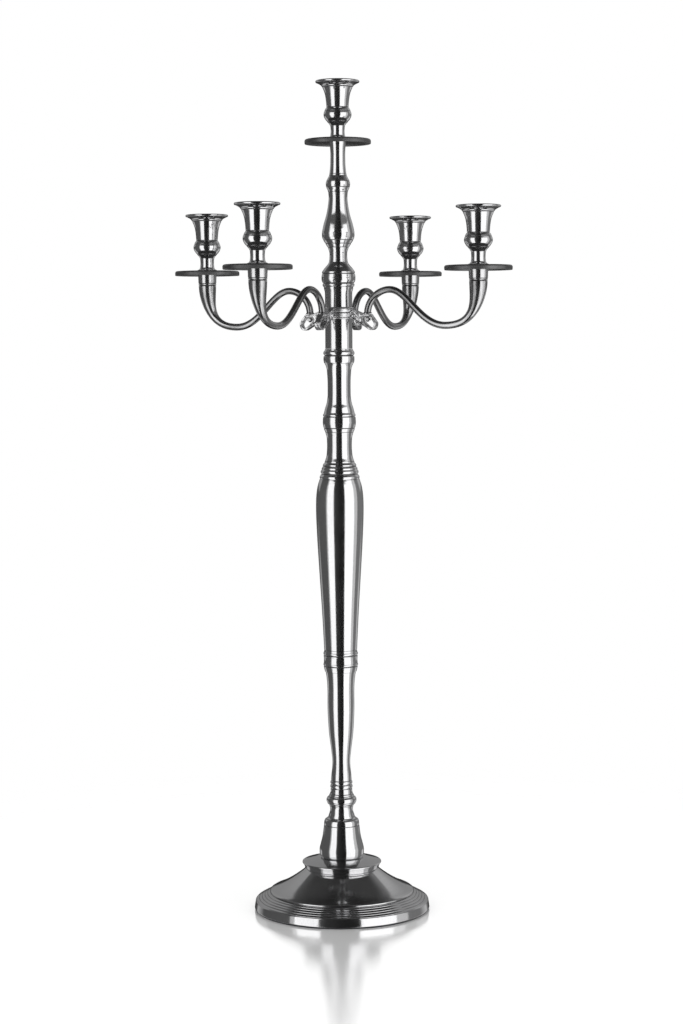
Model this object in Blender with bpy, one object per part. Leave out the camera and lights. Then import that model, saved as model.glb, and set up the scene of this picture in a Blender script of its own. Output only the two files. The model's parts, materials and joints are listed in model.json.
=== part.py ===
"""A five-light floor candelabrum of polished cast metal, in metres, with +Z up.

The origin is at the bottom centre, under the felt ring of the base. Every column piece is
threaded on one tie rod and stands on the piece below it. The hub ring is clamped between two
sleeves of the column and carries four lugs. Each arm stands on a lug, on a threaded tail with a
nut in the lug's window. A stud holds each candle cup, with the drip pan trapped under the cup.
"""

import math

import bmesh
import bpy
from mathutils import Matrix
from mathutils.geometry import interpolate_bezier

# Fits
GAP = 0.0003            # between two pieces that touch
ROD_PLAY = 0.0005       # round the tie rod, in every bore it passes
STUD_PLAY = 0.0005      # round a cup's stud
TAIL_PLAY = 0.0004      # round an arm's threaded tail

# Facets of the turned pieces
COLUMN_FACETS = 16
BASE_FACETS = 28
SMALL_FACETS = 12

# Shapes of one stretch of a turned outline, going up
CONE = "cone"           # straight
SWELL = "swell"         # leaves and arrives upright, as an S
BULGE = "bulge"         # quarter round, upright at its wide end
COVE = "cove"           # quarter hollow, upright at its narrow end
DISH = "dish"           # long slope that sags below the straight line
STEPS = {CONE: 1, SWELL: 3, BULGE: 2, COVE: 2, DISH: 3}   # straight runs in each shape

# Base
BASE_RADIUS = 0.1065
BASE_BAND_HEIGHT = 0.0093
BASE_EDGE_ROUND = 0.0012
BASE_WALL = 0.004
MOULDING_COUNT = 4
MOULDING_WIDTH = 0.0042
MOULDING_RISE = 0.0023
MOULDING_BEAD_WIDTH = 0.0025
MOULDING_BEAD_RISE = 0.0027
SLOPE_RISE = 0.0265
SLOPE_SAG = 0.0025
BASE_WEB = 0.0045       # the flat top of the base, where the tie rod pulls
FELT_THICKNESS = 0.0015
FELT_WIDTH = 0.012
FELT_INSET = 0.002

# Plate on top of the base
PLATE_FOOT_RADIUS = 0.043
PLATE_RADIUS = 0.048
PLATE_BAND_RISE = 0.0065
PLATE_EDGE_ROUND = 0.0014
PLATE_CROWN_RISE = 0.0046
PLATE_SEAT_MARGIN = 0.0012

# Tie rod, M8, and what it pulls on
ROD_RADIUS = 0.004
ROD_NUT_ACROSS_FLATS = 0.013
ROD_NUT_HEIGHT = 0.0065
ROD_TAIL = 0.003        # rod below its nut
ROD_IN_SPINDLE = 0.0155 # rod inside the topmost column piece
WASHER_RADIUS = 0.010
WASHER_THICKNESS = 0.0016

# Column, from the base up: a start radius, then (shape, rise, radius) stretches
BELL_RADIUS = 0.0288
BELL_ROUND = 0.0012
TUBE_RADIUS = 0.0163    # the plain sleeves above and below the hub
TUBE_LIP = 0.0013

COLUMN_FOOT = (
    BELL_RADIUS - BELL_ROUND,
    (BULGE, 0.0030, BELL_RADIUS),
    (CONE, 0.0024, BELL_RADIUS),
    (SWELL, 0.0180, 0.0232),
    (CONE, 0.0167, 0.0214),
    (BULGE, 0.0100, 0.0163),
    (SWELL, 0.0100, 0.0138),
    (CONE, 0.0026, 0.0144),
)
FOOT_RING = (
    0.0148,
    (BULGE, 0.0075, 0.0182),
    (BULGE, 0.0070, 0.0144),
)
LOWER_VASE = (
    0.0142,
    (COVE, 0.0050, 0.0130),
    (CONE, 0.0150, 0.0124),
    (SWELL, 0.0170, 0.0108),
    (SWELL, 0.0600, 0.0160),
    (CONE, 0.0480, 0.0177),
    (CONE, 0.0045, 0.0184),
)
BELT_COLLAR = (
    0.0184,
    (COVE, 0.0065, 0.0208),
    (CONE, 0.0155, 0.0208),
    (BULGE, 0.0044, 0.0196),
)
MAIN_VASE = (
    0.0196,
    (COVE, 0.0047, 0.0202),
    (CONE, 0.1250, 0.0268),
    (CONE, 0.0240, 0.0281),
    (SWELL, 0.0160, 0.0287),
    (CONE, 0.0080, 0.0287),
    (BULGE, 0.0290, 0.0240),
)
NECK_COLLAR = (
    0.0238,
    (CONE, 0.0056, 0.0230),
    (CONE, 0.0056, 0.0225),
    (CONE, 0.0000, 0.0216),
    (CONE, 0.0050, 0.0207),
    (BULGE, 0.0050, 0.0180),
)
LOWER_BALUSTER = (
    0.0178,
    (COVE, 0.0080, 0.0155),
    (SWELL, 0.0102, 0.0149),
    (CONE, 0.0100, 0.0153),
    (SWELL, 0.0160, 0.0198),
    (CONE, 0.0090, 0.0198),
    (SWELL, 0.0260, 0.0137),
    (CONE, 0.0310, 0.0146),
    (SWELL, 0.0070, 0.0174),
)
RING_COLLAR = (
    0.0176,
    (BULGE, 0.0050, 0.0185),
    (CONE, 0.0095, 0.0186),
    (BULGE, 0.0025, 0.0170),
)
LOWER_SLEEVE = (
    TUBE_RADIUS,
    (CONE, 0.0354, TUBE_RADIUS),
)
UPPER_SLEEVE = (
    TUBE_RADIUS,
    (CONE, 0.0170, TUBE_RADIUS),
    (SWELL, 0.0050, TUBE_RADIUS + TUBE_LIP),
    (CONE, 0.0022, TUBE_RADIUS + TUBE_LIP),
)
CROWN_KNOB = (
    0.0186,
    (BULGE, 0.0060, 0.0203),
    (CONE, 0.0090, 0.0203),
    (SWELL, 0.0140, 0.0115),
)
TOP_VASE = (
    0.0113,
    (SWELL, 0.0070, 0.0106),
    (CONE, 0.0050, 0.0108),
    (SWELL, 0.0190, 0.0195),
    (CONE, 0.0030, 0.0195),
    (SWELL, 0.0400, 0.0112),
    (CONE, 0.0090, 0.0115),
)
TOP_BEAD = (
    0.0118,
    (COVE, 0.0045, 0.0138),
    (BULGE, 0.0040, 0.0145),
    (SWELL, 0.0130, 0.0102),
)
TOP_SPINDLE = (
    0.0100,
    (COVE, 0.0060, 0.0092),
    (CONE, 0.0120, 0.0089),
    (CONE, 0.0080, 0.0090),
    (SWELL, 0.0117, 0.0102),
)
BELOW_HUB = (
    ("column_foot", COLUMN_FOOT),
    ("foot_ring", FOOT_RING),
    ("lower_vase", LOWER_VASE),
    ("belt_collar", BELT_COLLAR),
    ("main_vase", MAIN_VASE),
    ("neck_collar", NECK_COLLAR),
    ("lower_baluster", LOWER_BALUSTER),
    ("ring_collar", RING_COLLAR),
    ("lower_sleeve", LOWER_SLEEVE),
)
ABOVE_HUB = (
    ("upper_sleeve", UPPER_SLEEVE),
    ("crown_knob", CROWN_KNOB),
    ("top_vase", TOP_VASE),
    ("top_bead", TOP_BEAD),
    ("top_spindle", TOP_SPINDLE),
)
HOLLOW = ("lower_vase", "main_vase")
VASE_WALL = 0.004
VASE_END = 0.006        # solid metal at each end of a hollow vase

# Hub ring and its lugs
HUB_HEIGHT = 0.0137
HUB_STEP = 0.0023       # the ring stands proud of the sleeves
HUB_ROUND = 0.0012
ARM_COUNT = 4
FIRST_ARM_DEG = -29.3
FOOT_REACH = 0.0395     # from the column's axis to an arm's foot
LUG_ROOT_REACH = 0.009
LUG_ROOT_MARGIN = 0.0008
LUG_THICKNESS = 0.008
LUG_WALL = 0.0028
LUG_SEAT_DROP = 0.008   # from the hub's top to the flat that an arm stands on
LUG_SEAT_WEB = 0.0045
LUG_EYE_RADIUS = 0.004
LUG_EYE_OUT = 0.006     # centre of the lug's round end, out from the arm's foot
LUG_EYE_DROP = 0.0125   # and below the seat
LUG_EYE_POINTS = 6

# Arm
ARM_REACH = 0.186       # from the column's axis to a cup's axis
ARM_RADIUS = 0.004
ARM_FOOT_FLARE = 0.001
ARM_FOOT_HEIGHT = 0.002
ARM_CREST_RADIUS = 0.0036
ARM_MOUTH_RADIUS = 0.0108
CREST_OUT = 0.0295      # crest of the arm, out from its foot
CREST_RISE = 0.0285     # and above its seat
TROUGH_BACK = 0.0430    # lowest point, back from the cup's axis
TROUGH_DROP = 0.0145    # and below its seat
MOUTH_RISE = 0.0376     # top of the horn, above its seat
ROUND_FOOT = 0.0160     # how far the arm runs on in line at each turning point
ROUND_CREST_IN = 0.0150
ROUND_CREST_OUT = 0.0240
ROUND_TROUGH_IN = 0.0340
ROUND_TROUGH_OUT = 0.0280
ROUND_MOUTH = 0.0380
ARM_STATIONS = (6, 8, 9)
TAIL_RADIUS = 0.002     # M4
TAIL_BELOW_NUT = 0.0015
NUT_ACROSS_FLATS = 0.007
NUT_HEIGHT = 0.0032
NUT_CLEARANCE = 0.0008  # round the nut in its window

# Ferrule on the arm's mouth
FERRULE_HEIGHT = 0.014
FERRULE_LIP = 0.0008    # the ferrule stands proud of the horn
FERRULE_SKIRT = 0.005
SPIGOT_STEP = 0.002     # the arm's end is turned down by this much to enter the ferrule

# Stud, M6, and drip pan
STUD_RADIUS = 0.003
STUD_BELOW = 0.0085     # stud below the pan, in the ferrule or the spindle
STUD_IN_CUP = 0.0075
PAN_RADIUS = 0.0397
PAN_THICKNESS = 0.003
PAN_FLAT_RADIUS = 0.0135
PAN_DROOP = 0.002
PAN_EDGE = 0.0026
PAN_EDGE_POINTS = 3

# Candle cup
CANDLE_RADIUS = 0.0113  # the socket's bore, for a 22 mm candle
CUP_WALL = 0.0019
SOCKET_DEPTH = 0.0215
FUNNEL_DEPTH = 0.0130
NECK_RADIUS = 0.0084
CUP_FOOT_RADIUS = 0.0100
KNOP_BULGE = 0.0034     # the knop under the socket, proud of the socket's body
LIP_SPREAD = 0.0149     # the lip, beyond the bore
LIP_THICKNESS = 0.0018


def clear_scene():
    for old in list(bpy.data.objects):
        bpy.data.objects.remove(old)


def finish(name, colour, metallic, roughness):
    """A Principled material."""
    material = bpy.data.materials.new(name)
    material.use_nodes = True
    shader = material.node_tree.nodes["Principled BSDF"]
    shader.inputs["Base Color"].default_value = (*colour, 1)
    shader.inputs["Metallic"].default_value = metallic
    shader.inputs["Roughness"].default_value = roughness
    return material


def between(a, b, t):
    return a + (b - a) * t


def stretch(shape, start, end, t, sag=0.0):
    """The (radius, height) point at t, from 0 to 1, along one stretch of an outline."""
    (r0, z0), (r1, z1) = start, end
    quarter = math.pi / 2 * t
    rising, falling = math.sin(quarter), 1 - math.cos(quarter)
    if shape == SWELL:
        return between(r0, r1, (1 - math.cos(math.pi * t)) / 2), between(z0, z1, t)
    if shape == DISH:
        return between(r0, r1, t), between(z0, z1, t) - 4 * sag * t * (1 - t)
    if (shape == BULGE) == (r1 > r0):
        return between(r0, r1, rising), between(z0, z1, falling)
    return between(r0, r1, falling), between(z0, z1, rising)


def outline(section, z=0.0, sag=0.0):
    """Points up the outside of a turned piece, from its start radius and its stretches."""
    points = [(section[0], z)]
    for shape, rise, radius in section[1:]:
        start, end = points[-1], (radius, points[-1][1] + rise)
        steps = STEPS[shape]
        points += [stretch(shape, start, end, i / steps, sag) for i in range(1, steps)]
        points.append(end)
    return points


def height_of(section):
    return sum(rise for _, rise, _ in section[1:])


def new_object(name, data, place, material=None, parent=None):
    """An object at a place; without a material it is a cutter, left out of the model."""
    item = bpy.data.objects.new(name, data)
    bpy.context.scene.collection.objects.link(item)
    item.location = place
    item.parent = parent
    if material:
        data.materials.append(material)
    else:
        item.hide_render = True
        item.display_type = "WIRE"
    return item


def mesh_of(shape, name, smooth=True):
    """A mesh from a bmesh, closed, facing out, and shaded smooth but for its sharp edges."""
    bmesh.ops.remove_doubles(shape, verts=shape.verts, dist=1e-6)
    bmesh.ops.recalc_face_normals(shape, faces=shape.faces)
    mesh = bpy.data.meshes.new(name)
    shape.to_mesh(mesh)
    shape.free()
    if smooth:
        mesh.shade_smooth()
        mesh.set_sharp_from_angle(angle=math.radians(35))
    return mesh


def turned_mesh(name, points, facets, closed=True):
    """A mesh turned about Z from (radius, height) points. An open row ends on the axis."""
    shape = bmesh.new()
    row = [shape.verts.new((radius, 0, height)) for radius, height in points]
    edges = [shape.edges.new(pair) for pair in zip(row, row[1:])]
    if closed:
        edges.append(shape.edges.new((row[-1], row[0])))
    bmesh.ops.spin(
        shape, geom=row + edges, axis=(0, 0, 1), cent=(0, 0, 0),
        angle=math.tau, steps=facets, use_merge=True,
    )
    return mesh_of(shape, name)


def with_bore(points, bore):
    """The outline closed down a bore."""
    return points + [(bore, points[-1][1]), (bore, points[0][1])]


def hollowed(points, bore):
    """The outline closed by a bore through both ends and a cavity between them."""
    bottom, top = points[0][1] + VASE_END, points[-1][1] - VASE_END
    inner = [(r - VASE_WALL, z) for r, z in points if bottom < z < top]
    inner = [(inner[0][0], bottom), *inner, (inner[-1][0], top)]
    upper = [(bore, points[-1][1]), (bore, top)]
    lower = [(bore, bottom), (bore, points[0][1])]
    return points + upper + inner[::-1] + lower


def plate_mesh(name, corners, thickness, turns=(0.0,)):
    """A plate with (x, z) corners, centred on y = 0 and repeated at each turn about Z."""
    shape = bmesh.new()
    for turn in turns:
        face = shape.faces.new([shape.verts.new((x, -thickness / 2, z)) for x, z in corners])
        grown = bmesh.ops.extrude_face_region(shape, geom=[face])
        moved = [v for v in grown["geom"] if isinstance(v, bmesh.types.BMVert)]
        bmesh.ops.translate(shape, verts=moved, vec=(0, thickness, 0))
        both = list(face.verts) + moved
        bmesh.ops.rotate(shape, verts=both, cent=(0, 0, 0), matrix=Matrix.Rotation(turn, 3, "Z"))
    return mesh_of(shape, name, smooth=False)


def rod_mesh(name, radius, bottom, top, facets=SMALL_FACETS, places=((0.0, 0.0),)):
    """Upright cylinders between two heights, one at each (x, y) place."""
    shape = bmesh.new()
    for x, y in places:
        bmesh.ops.create_cone(
            shape, cap_ends=True, segments=facets, radius1=radius, radius2=radius,
            depth=top - bottom, matrix=Matrix.Translation((x, y, (bottom + top) / 2)),
        )
    return mesh_of(shape, name)


def cut(item, cutter, operation="DIFFERENCE"):
    modifier = item.modifiers.new(f"{operation.lower()}_{cutter.name}", "BOOLEAN")
    modifier.operation = operation
    modifier.object = cutter


def hex_nut(name, flats, height, bore, place, material, parent=None):
    corner = flats / 2 / math.cos(math.pi / 6)
    nut = new_object(name, rod_mesh(name, corner, 0, height, 6), place, material, parent)
    through = rod_mesh(f"{name}_bore", bore, -height, 2 * height)
    cut(nut, new_object(f"{name}_bore", through, place, parent=parent))
    return nut


def base(metal, felt, steel):
    """Felt ring, hollow base, plate, and the tie rod's nut and washer; the height of the plate's top."""
    felt_outer = BASE_RADIUS - FELT_INSET
    felt_side = (felt_outer, (CONE, FELT_THICKNESS, felt_outer))
    points = with_bore(outline(felt_side), felt_outer - FELT_WIDTH)
    new_object("felt_ring", turned_mesh("felt_ring", points, BASE_FACETS), (0, 0, 0), felt)

    bore = ROD_RADIUS + ROD_PLAY
    step_radius = BASE_RADIUS - BASE_EDGE_ROUND
    section = [
        BASE_RADIUS,
        (CONE, BASE_BAND_HEIGHT, BASE_RADIUS),
        (BULGE, BASE_EDGE_ROUND, step_radius),
    ]
    for i in range(MOULDING_COUNT):
        section.append((BULGE, MOULDING_RISE, step_radius - (i + 1) * MOULDING_WIDTH))
    slope_radius = section[-1][2] - MOULDING_BEAD_WIDTH
    section.append((BULGE, MOULDING_BEAD_RISE, slope_radius))
    section.append((DISH, SLOPE_RISE, PLATE_FOOT_RADIUS))
    outside = outline(section, sag=SLOPE_SAG)
    top = outside[-1][1]
    slope_start = top - SLOPE_RISE
    band_top = BASE_BAND_HEIGHT - BASE_WALL
    ceiling = (PLATE_FOOT_RADIUS - BASE_WALL, top - BASE_WEB)
    inside = [
        (BASE_RADIUS - BASE_WALL, 0),
        (BASE_RADIUS - BASE_WALL, band_top),
        (slope_radius - BASE_WALL, slope_start - BASE_WALL),
        stretch(DISH, (slope_radius - BASE_WALL, slope_start - BASE_WALL), ceiling, 0.5, SLOPE_SAG),
        ceiling,
        (bore, top - BASE_WEB),
        (bore, top),
    ]
    floor = FELT_THICKNESS + GAP
    shell = turned_mesh("base_foot", outside + inside[::-1], BASE_FACETS)
    new_object("base_foot", shell, (0, 0, floor), metal)

    under_web = floor + top - BASE_WEB
    washer = with_bore(outline((WASHER_RADIUS, (CONE, WASHER_THICKNESS, WASHER_RADIUS))), bore)
    washer_z = under_web - GAP - WASHER_THICKNESS
    ring = turned_mesh("rod_washer", washer, COLUMN_FACETS)
    new_object("rod_washer", ring, (0, 0, washer_z), steel)
    nut_z = washer_z - GAP - ROD_NUT_HEIGHT
    hex_nut("rod_nut", ROD_NUT_ACROSS_FLATS, ROD_NUT_HEIGHT, bore, (0, 0, nut_z), steel)

    plate_z = floor + top + GAP
    seat = BELL_RADIUS + PLATE_SEAT_MARGIN
    plate = (
        PLATE_FOOT_RADIUS,
        (CONE, PLATE_BAND_RISE, PLATE_RADIUS),
        (BULGE, PLATE_EDGE_ROUND, PLATE_RADIUS - PLATE_EDGE_ROUND),
        (CONE, PLATE_CROWN_RISE, seat),
    )
    shape = turned_mesh("base_plate", with_bore(outline(plate), bore), BASE_FACETS)
    new_object("base_plate", shape, (0, 0, plate_z), metal)
    return nut_z - ROD_TAIL, plate_z + height_of(plate)


def column(sections, z, metal):
    """The column pieces of a list, each standing on the one below; the height of the last one's top."""
    bore = ROD_RADIUS + ROD_PLAY
    for name, section in sections:
        z += GAP
        points = outline(section)
        if name in HOLLOW:
            points = hollowed(points, bore)
        elif name == "top_spindle":
            points = spindle_loop(points, bore)
        else:
            points = with_bore(points, bore)
        mesh = turned_mesh(name, points, COLUMN_FACETS, closed=name != "top_spindle")
        new_object(name, mesh, (0, 0, z), metal)
        z += height_of(section)
    return z


def spindle_loop(points, bore):
    """The topmost piece has a blind hole for the tie rod and one for the cup's stud."""
    stud_bore = STUD_RADIUS + STUD_PLAY
    rod_end = ROD_IN_SPINDLE + GAP
    stud_end = points[-1][1] - STUD_BELOW - GAP
    below = [(0, rod_end), (bore, rod_end), (bore, 0)]
    above = [(stud_bore, points[-1][1]), (stud_bore, stud_end), (0, stud_end)]
    return below + points + above


def arc(centre, radius, first_deg, last_deg, count):
    """Points on an arc in the (x, z) plane."""
    step = (last_deg - first_deg) / (count - 1)
    angles = [math.radians(first_deg + i * step) for i in range(count)]
    return [(centre[0] + radius * math.cos(a), centre[1] + radius * math.sin(a)) for a in angles]


def hub(z, metal):
    """The hub ring with four drooping lugs, each with a window for a nut; the height of the lugs' seats."""
    radius = TUBE_RADIUS + HUB_STEP
    ring = (
        radius - HUB_ROUND,
        (BULGE, HUB_ROUND, radius),
        (CONE, HUB_HEIGHT - 2 * HUB_ROUND, radius),
        (BULGE, HUB_ROUND, radius - HUB_ROUND),
    )
    points = with_bore(outline(ring), ROD_RADIUS + ROD_PLAY)
    body = new_object("hub_ring", turned_mesh("hub_ring", points, COLUMN_FACETS), (0, 0, z), metal)

    seat = HUB_HEIGHT - LUG_SEAT_DROP
    eye = (FOOT_REACH + LUG_EYE_OUT, seat - LUG_EYE_DROP)
    half = NUT_ACROSS_FLATS / 2 / math.cos(math.pi / 6) + NUT_CLEARANCE
    ceiling = seat - LUG_SEAT_WEB
    sill = ceiling - NUT_HEIGHT - NUT_CLEARANCE
    window = [
        (FOOT_REACH - half, sill),
        (FOOT_REACH - half, ceiling),
        (FOOT_REACH + half, ceiling),
        *arc(eye, LUG_EYE_RADIUS, 15, -125, LUG_EYE_POINTS),
    ]
    outer = LUG_EYE_RADIUS + LUG_WALL
    lug = [
        (LUG_ROOT_REACH, LUG_ROOT_MARGIN),
        (LUG_ROOT_REACH, HUB_HEIGHT - LUG_ROOT_MARGIN),
        (radius, HUB_HEIGHT - LUG_ROOT_MARGIN),
        (FOOT_REACH - half, seat),
        (FOOT_REACH + half, seat),
        *arc(eye, outer, 25, -120, LUG_EYE_POINTS),
        (radius, LUG_ROOT_MARGIN),
    ]
    turns = [arm_turn(i) for i in range(ARM_COUNT)]
    feet = [(FOOT_REACH * math.cos(t), FOOT_REACH * math.sin(t)) for t in turns]
    hole = TAIL_RADIUS + TAIL_PLAY
    holes = rod_mesh("tail_holes", hole, sill, seat + LUG_SEAT_WEB, places=feet)
    lugs = new_object("lugs", plate_mesh("lugs", lug, LUG_THICKNESS, turns), (0, 0, z))
    windows = plate_mesh("windows", window, 2 * LUG_THICKNESS, turns)
    cut(body, lugs, "UNION")
    cut(body, new_object("windows", windows, (0, 0, z)))
    cut(body, new_object("tail_holes", holes, (0, 0, z)))
    return z + seat


def arm_turn(index):
    return math.radians(FIRST_ARM_DEG) + index * math.tau / ARM_COUNT


def arm_route():
    """(x, z, radius) along an arm from its foot, which is at (0, 0) on the lug's seat."""
    reach = ARM_REACH - FOOT_REACH
    foot, crest = (0, GAP), (CREST_OUT, CREST_RISE)
    trough, mouth = (reach - TROUGH_BACK, -TROUGH_DROP), (reach, MOUTH_RISE)
    spans = (
        (foot, (0, GAP + ROUND_FOOT), (crest[0] - ROUND_CREST_IN, crest[1]), crest),
        (crest, (crest[0] + ROUND_CREST_OUT, crest[1]), (trough[0] - ROUND_TROUGH_IN, trough[1]), trough),
        (trough, (trough[0] + ROUND_TROUGH_OUT, trough[1]), (reach, mouth[1] - ROUND_MOUTH), mouth),
    )
    ends = ((ARM_RADIUS, ARM_CREST_RADIUS), (ARM_CREST_RADIUS, ARM_RADIUS), (ARM_RADIUS, ARM_MOUTH_RADIUS))
    route = []
    for span, (r0, r1), count in zip(spans, ends, ARM_STATIONS):
        points = interpolate_bezier(*[(x, 0, z) for x, z in span], count + 1)
        for i, point in enumerate(points[bool(route):], start=bool(route)):
            t = (i / count) ** (2 if r1 == ARM_MOUTH_RADIUS else 1)
            route.append((point.x, point.z, between(r0, r1, t * t * (3 - 2 * t))))
    return route


def arm_curve(name):
    """The whole casting: threaded tail, flared foot, gooseneck, horn, and the spigot on its end."""
    tail_end = -LUG_SEAT_WEB - GAP - NUT_HEIGHT - TAIL_BELOW_NUT
    flare = ARM_RADIUS + ARM_FOOT_FLARE
    route = arm_route()
    start = [(0, tail_end, TAIL_RADIUS), (0, 0, TAIL_RADIUS), (0, GAP, flare)]
    middle = [p for p in route if p[1] > ARM_FOOT_HEIGHT or p[0] > ARM_RADIUS]
    x, z, radius = route[-1]
    spigot = radius - SPIGOT_STEP
    top = z + FERRULE_SKIRT
    end = [(x, z + GAP / 2, spigot), (x, top, spigot)]
    points = start + [(0, ARM_FOOT_HEIGHT, ARM_RADIUS)] + middle + end

    curve = bpy.data.curves.new(name, "CURVE")
    curve.dimensions = "3D"
    curve.twist_mode = "MINIMUM"
    curve.bevel_depth = ARM_RADIUS
    curve.bevel_resolution = 2
    curve.use_fill_caps = True
    spline = curve.splines.new("POLY")
    spline.points.add(len(points) - 1)
    for point, (x, z, radius) in zip(spline.points, points):
        point.co = (x, 0, z, 1)
        point.radius = radius / ARM_RADIUS
    spline.use_smooth = True
    return curve


def ferrule_mesh(name):
    """The threaded cap on the arm's mouth, with a skirt over the arm's spigot."""
    outer = ARM_MOUTH_RADIUS + FERRULE_LIP
    skirt_bore = ARM_MOUTH_RADIUS - SPIGOT_STEP + GAP * 1.5
    stud_bore = STUD_RADIUS + STUD_PLAY
    ceiling = FERRULE_SKIRT + GAP
    points = [
        (outer, 0), (outer, FERRULE_HEIGHT), (stud_bore, FERRULE_HEIGHT),
        (stud_bore, ceiling), (skirt_bore, ceiling), (skirt_bore, 0),
    ]
    return turned_mesh(name, points, SMALL_FACETS)


def pan_mesh(name):
    """A thin drip pan, flat where it is clamped and drooping to a rounded edge."""
    bore = STUD_RADIUS + STUD_PLAY
    edge = PAN_RADIUS - PAN_EDGE / 2
    rim = arc((edge, PAN_EDGE / 2 - PAN_DROOP), PAN_EDGE / 2, -90, 90, PAN_EDGE_POINTS)
    under = [(bore, 0), (PAN_FLAT_RADIUS, 0)]
    over = [(PAN_FLAT_RADIUS, PAN_THICKNESS), (bore, PAN_THICKNESS)]
    return turned_mesh(name, under + rim + over, COLUMN_FACETS)


def cup_mesh(name):
    """The candle cup: stud hole, neck, knop, socket body and flared lip, then down inside."""
    stud_bore = STUD_RADIUS + STUD_PLAY
    stud_end = STUD_IN_CUP + GAP
    body = CANDLE_RADIUS + CUP_WALL
    lip = CANDLE_RADIUS + LIP_SPREAD
    section = (
        CUP_FOOT_RADIUS,
        (COVE, 0.0065, NECK_RADIUS),
        (CONE, 0.0060, NECK_RADIUS),
        (SWELL, 0.0145, body + KNOP_BULGE),
        (SWELL, 0.0105, body),
        (CONE, 0.0090, body + 0.0007),
        (CONE, 0.0060, body + 0.0018),
        (COVE, 0.0080, body + 0.0050),
        (CONE, 0.0018, body + 0.0062),
        (CONE, 0.0036, lip - 0.0010),
        (CONE, 0.0014, lip),
        (BULGE, 0.0014, lip - 0.0008),
    )
    outside = outline(section)
    top = outside[-1][1]
    funnel = (CANDLE_RADIUS, (COVE, FUNNEL_DEPTH, lip - LIP_THICKNESS))
    inside = outline(funnel, z=top - FUNNEL_DEPTH)
    floor = top - FUNNEL_DEPTH - SOCKET_DEPTH
    foot = [(0, stud_end), (stud_bore, stud_end), (stud_bore, 0)]
    points = foot + outside + inside[::-1] + [(CANDLE_RADIUS, floor), (0, floor)]
    return turned_mesh(name, points, COLUMN_FACETS, closed=False)


def light(number, seat, parent, metal, steel):
    """Drip pan, stud and candle cup on a seat at a place, which is (x, y, z) from the parent."""
    x, y, z = seat
    pan = new_object(f"drip_pan_{number}", pan_mesh("drip_pan"), (x, y, z + GAP), metal, parent)
    stud = rod_mesh("cup_stud", STUD_RADIUS, -STUD_BELOW, PAN_THICKNESS + 2 * GAP + STUD_IN_CUP)
    new_object(f"cup_stud_{number}", stud, (x, y, z), steel, parent)
    over = PAN_THICKNESS + 2 * GAP
    new_object(f"candle_cup_{number}", cup_mesh("candle_cup"), (x, y, z + over), metal, parent)
    return pan


def arm(number, seat_z, metal, steel):
    """One arm on its lug, with its nut, ferrule, pan, stud and cup, about an empty on its swivel axis."""
    turn = arm_turn(number - 1)
    pivot = bpy.data.objects.new(f"arm_{number}_swivel", None)
    bpy.context.scene.collection.objects.link(pivot)
    pivot.location = (FOOT_REACH * math.cos(turn), FOOT_REACH * math.sin(turn), seat_z)
    pivot.rotation_euler = (0, 0, turn)
    new_object(f"arm_{number}", arm_curve("arm"), (0, 0, 0), metal, pivot)
    nut_z = -LUG_SEAT_WEB - GAP - NUT_HEIGHT
    bore = TAIL_RADIUS + TAIL_PLAY
    hex_nut(f"arm_nut_{number}", NUT_ACROSS_FLATS, NUT_HEIGHT, bore, (0, 0, nut_z), steel, pivot)
    reach = ARM_REACH - FOOT_REACH
    ferrule_z = MOUTH_RISE + GAP
    new_object(f"ferrule_{number}", ferrule_mesh("ferrule"), (reach, 0, ferrule_z), metal, pivot)
    light(number, (reach, 0, ferrule_z + FERRULE_HEIGHT), pivot, metal, steel)


def build():
    clear_scene()
    polished = finish("polished_metal", (0.60, 0.60, 0.61), 1.0, 0.10)
    cast = finish("cast_metal", (0.56, 0.56, 0.57), 1.0, 0.18)
    steel = finish("zinc_steel", (0.52, 0.52, 0.50), 1.0, 0.35)
    felt = finish("black_felt", (0.03, 0.03, 0.035), 0.0, 0.95)
    rod_bottom, plate_top = base(polished, felt, steel)
    sleeve_top = column(BELOW_HUB, plate_top, polished)
    seat_z = hub(sleeve_top + GAP, cast)
    spindle_top = column(ABOVE_HUB, sleeve_top + GAP + HUB_HEIGHT, polished)
    rod_top = spindle_top - height_of(TOP_SPINDLE) + ROD_IN_SPINDLE
    new_object("tie_rod", rod_mesh("tie_rod", ROD_RADIUS, rod_bottom, rod_top), (0, 0, 0), steel)
    for number in range(1, ARM_COUNT + 1):
        arm(number, seat_z, cast, steel)
    light(ARM_COUNT + 1, (0, 0, spindle_top), None, polished, steel)


build()
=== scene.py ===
"""The finished candelabrum: turned and polished column, cast arms, spun pans and turned cups.

Each piece is built where the frame holds its plain counterpart, in metres, with +Z up.
"""

import json
import math

import bmesh
import bpy
from mathutils import Matrix, Vector, noise
from mathutils.geometry import interpolate_bezier


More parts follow.
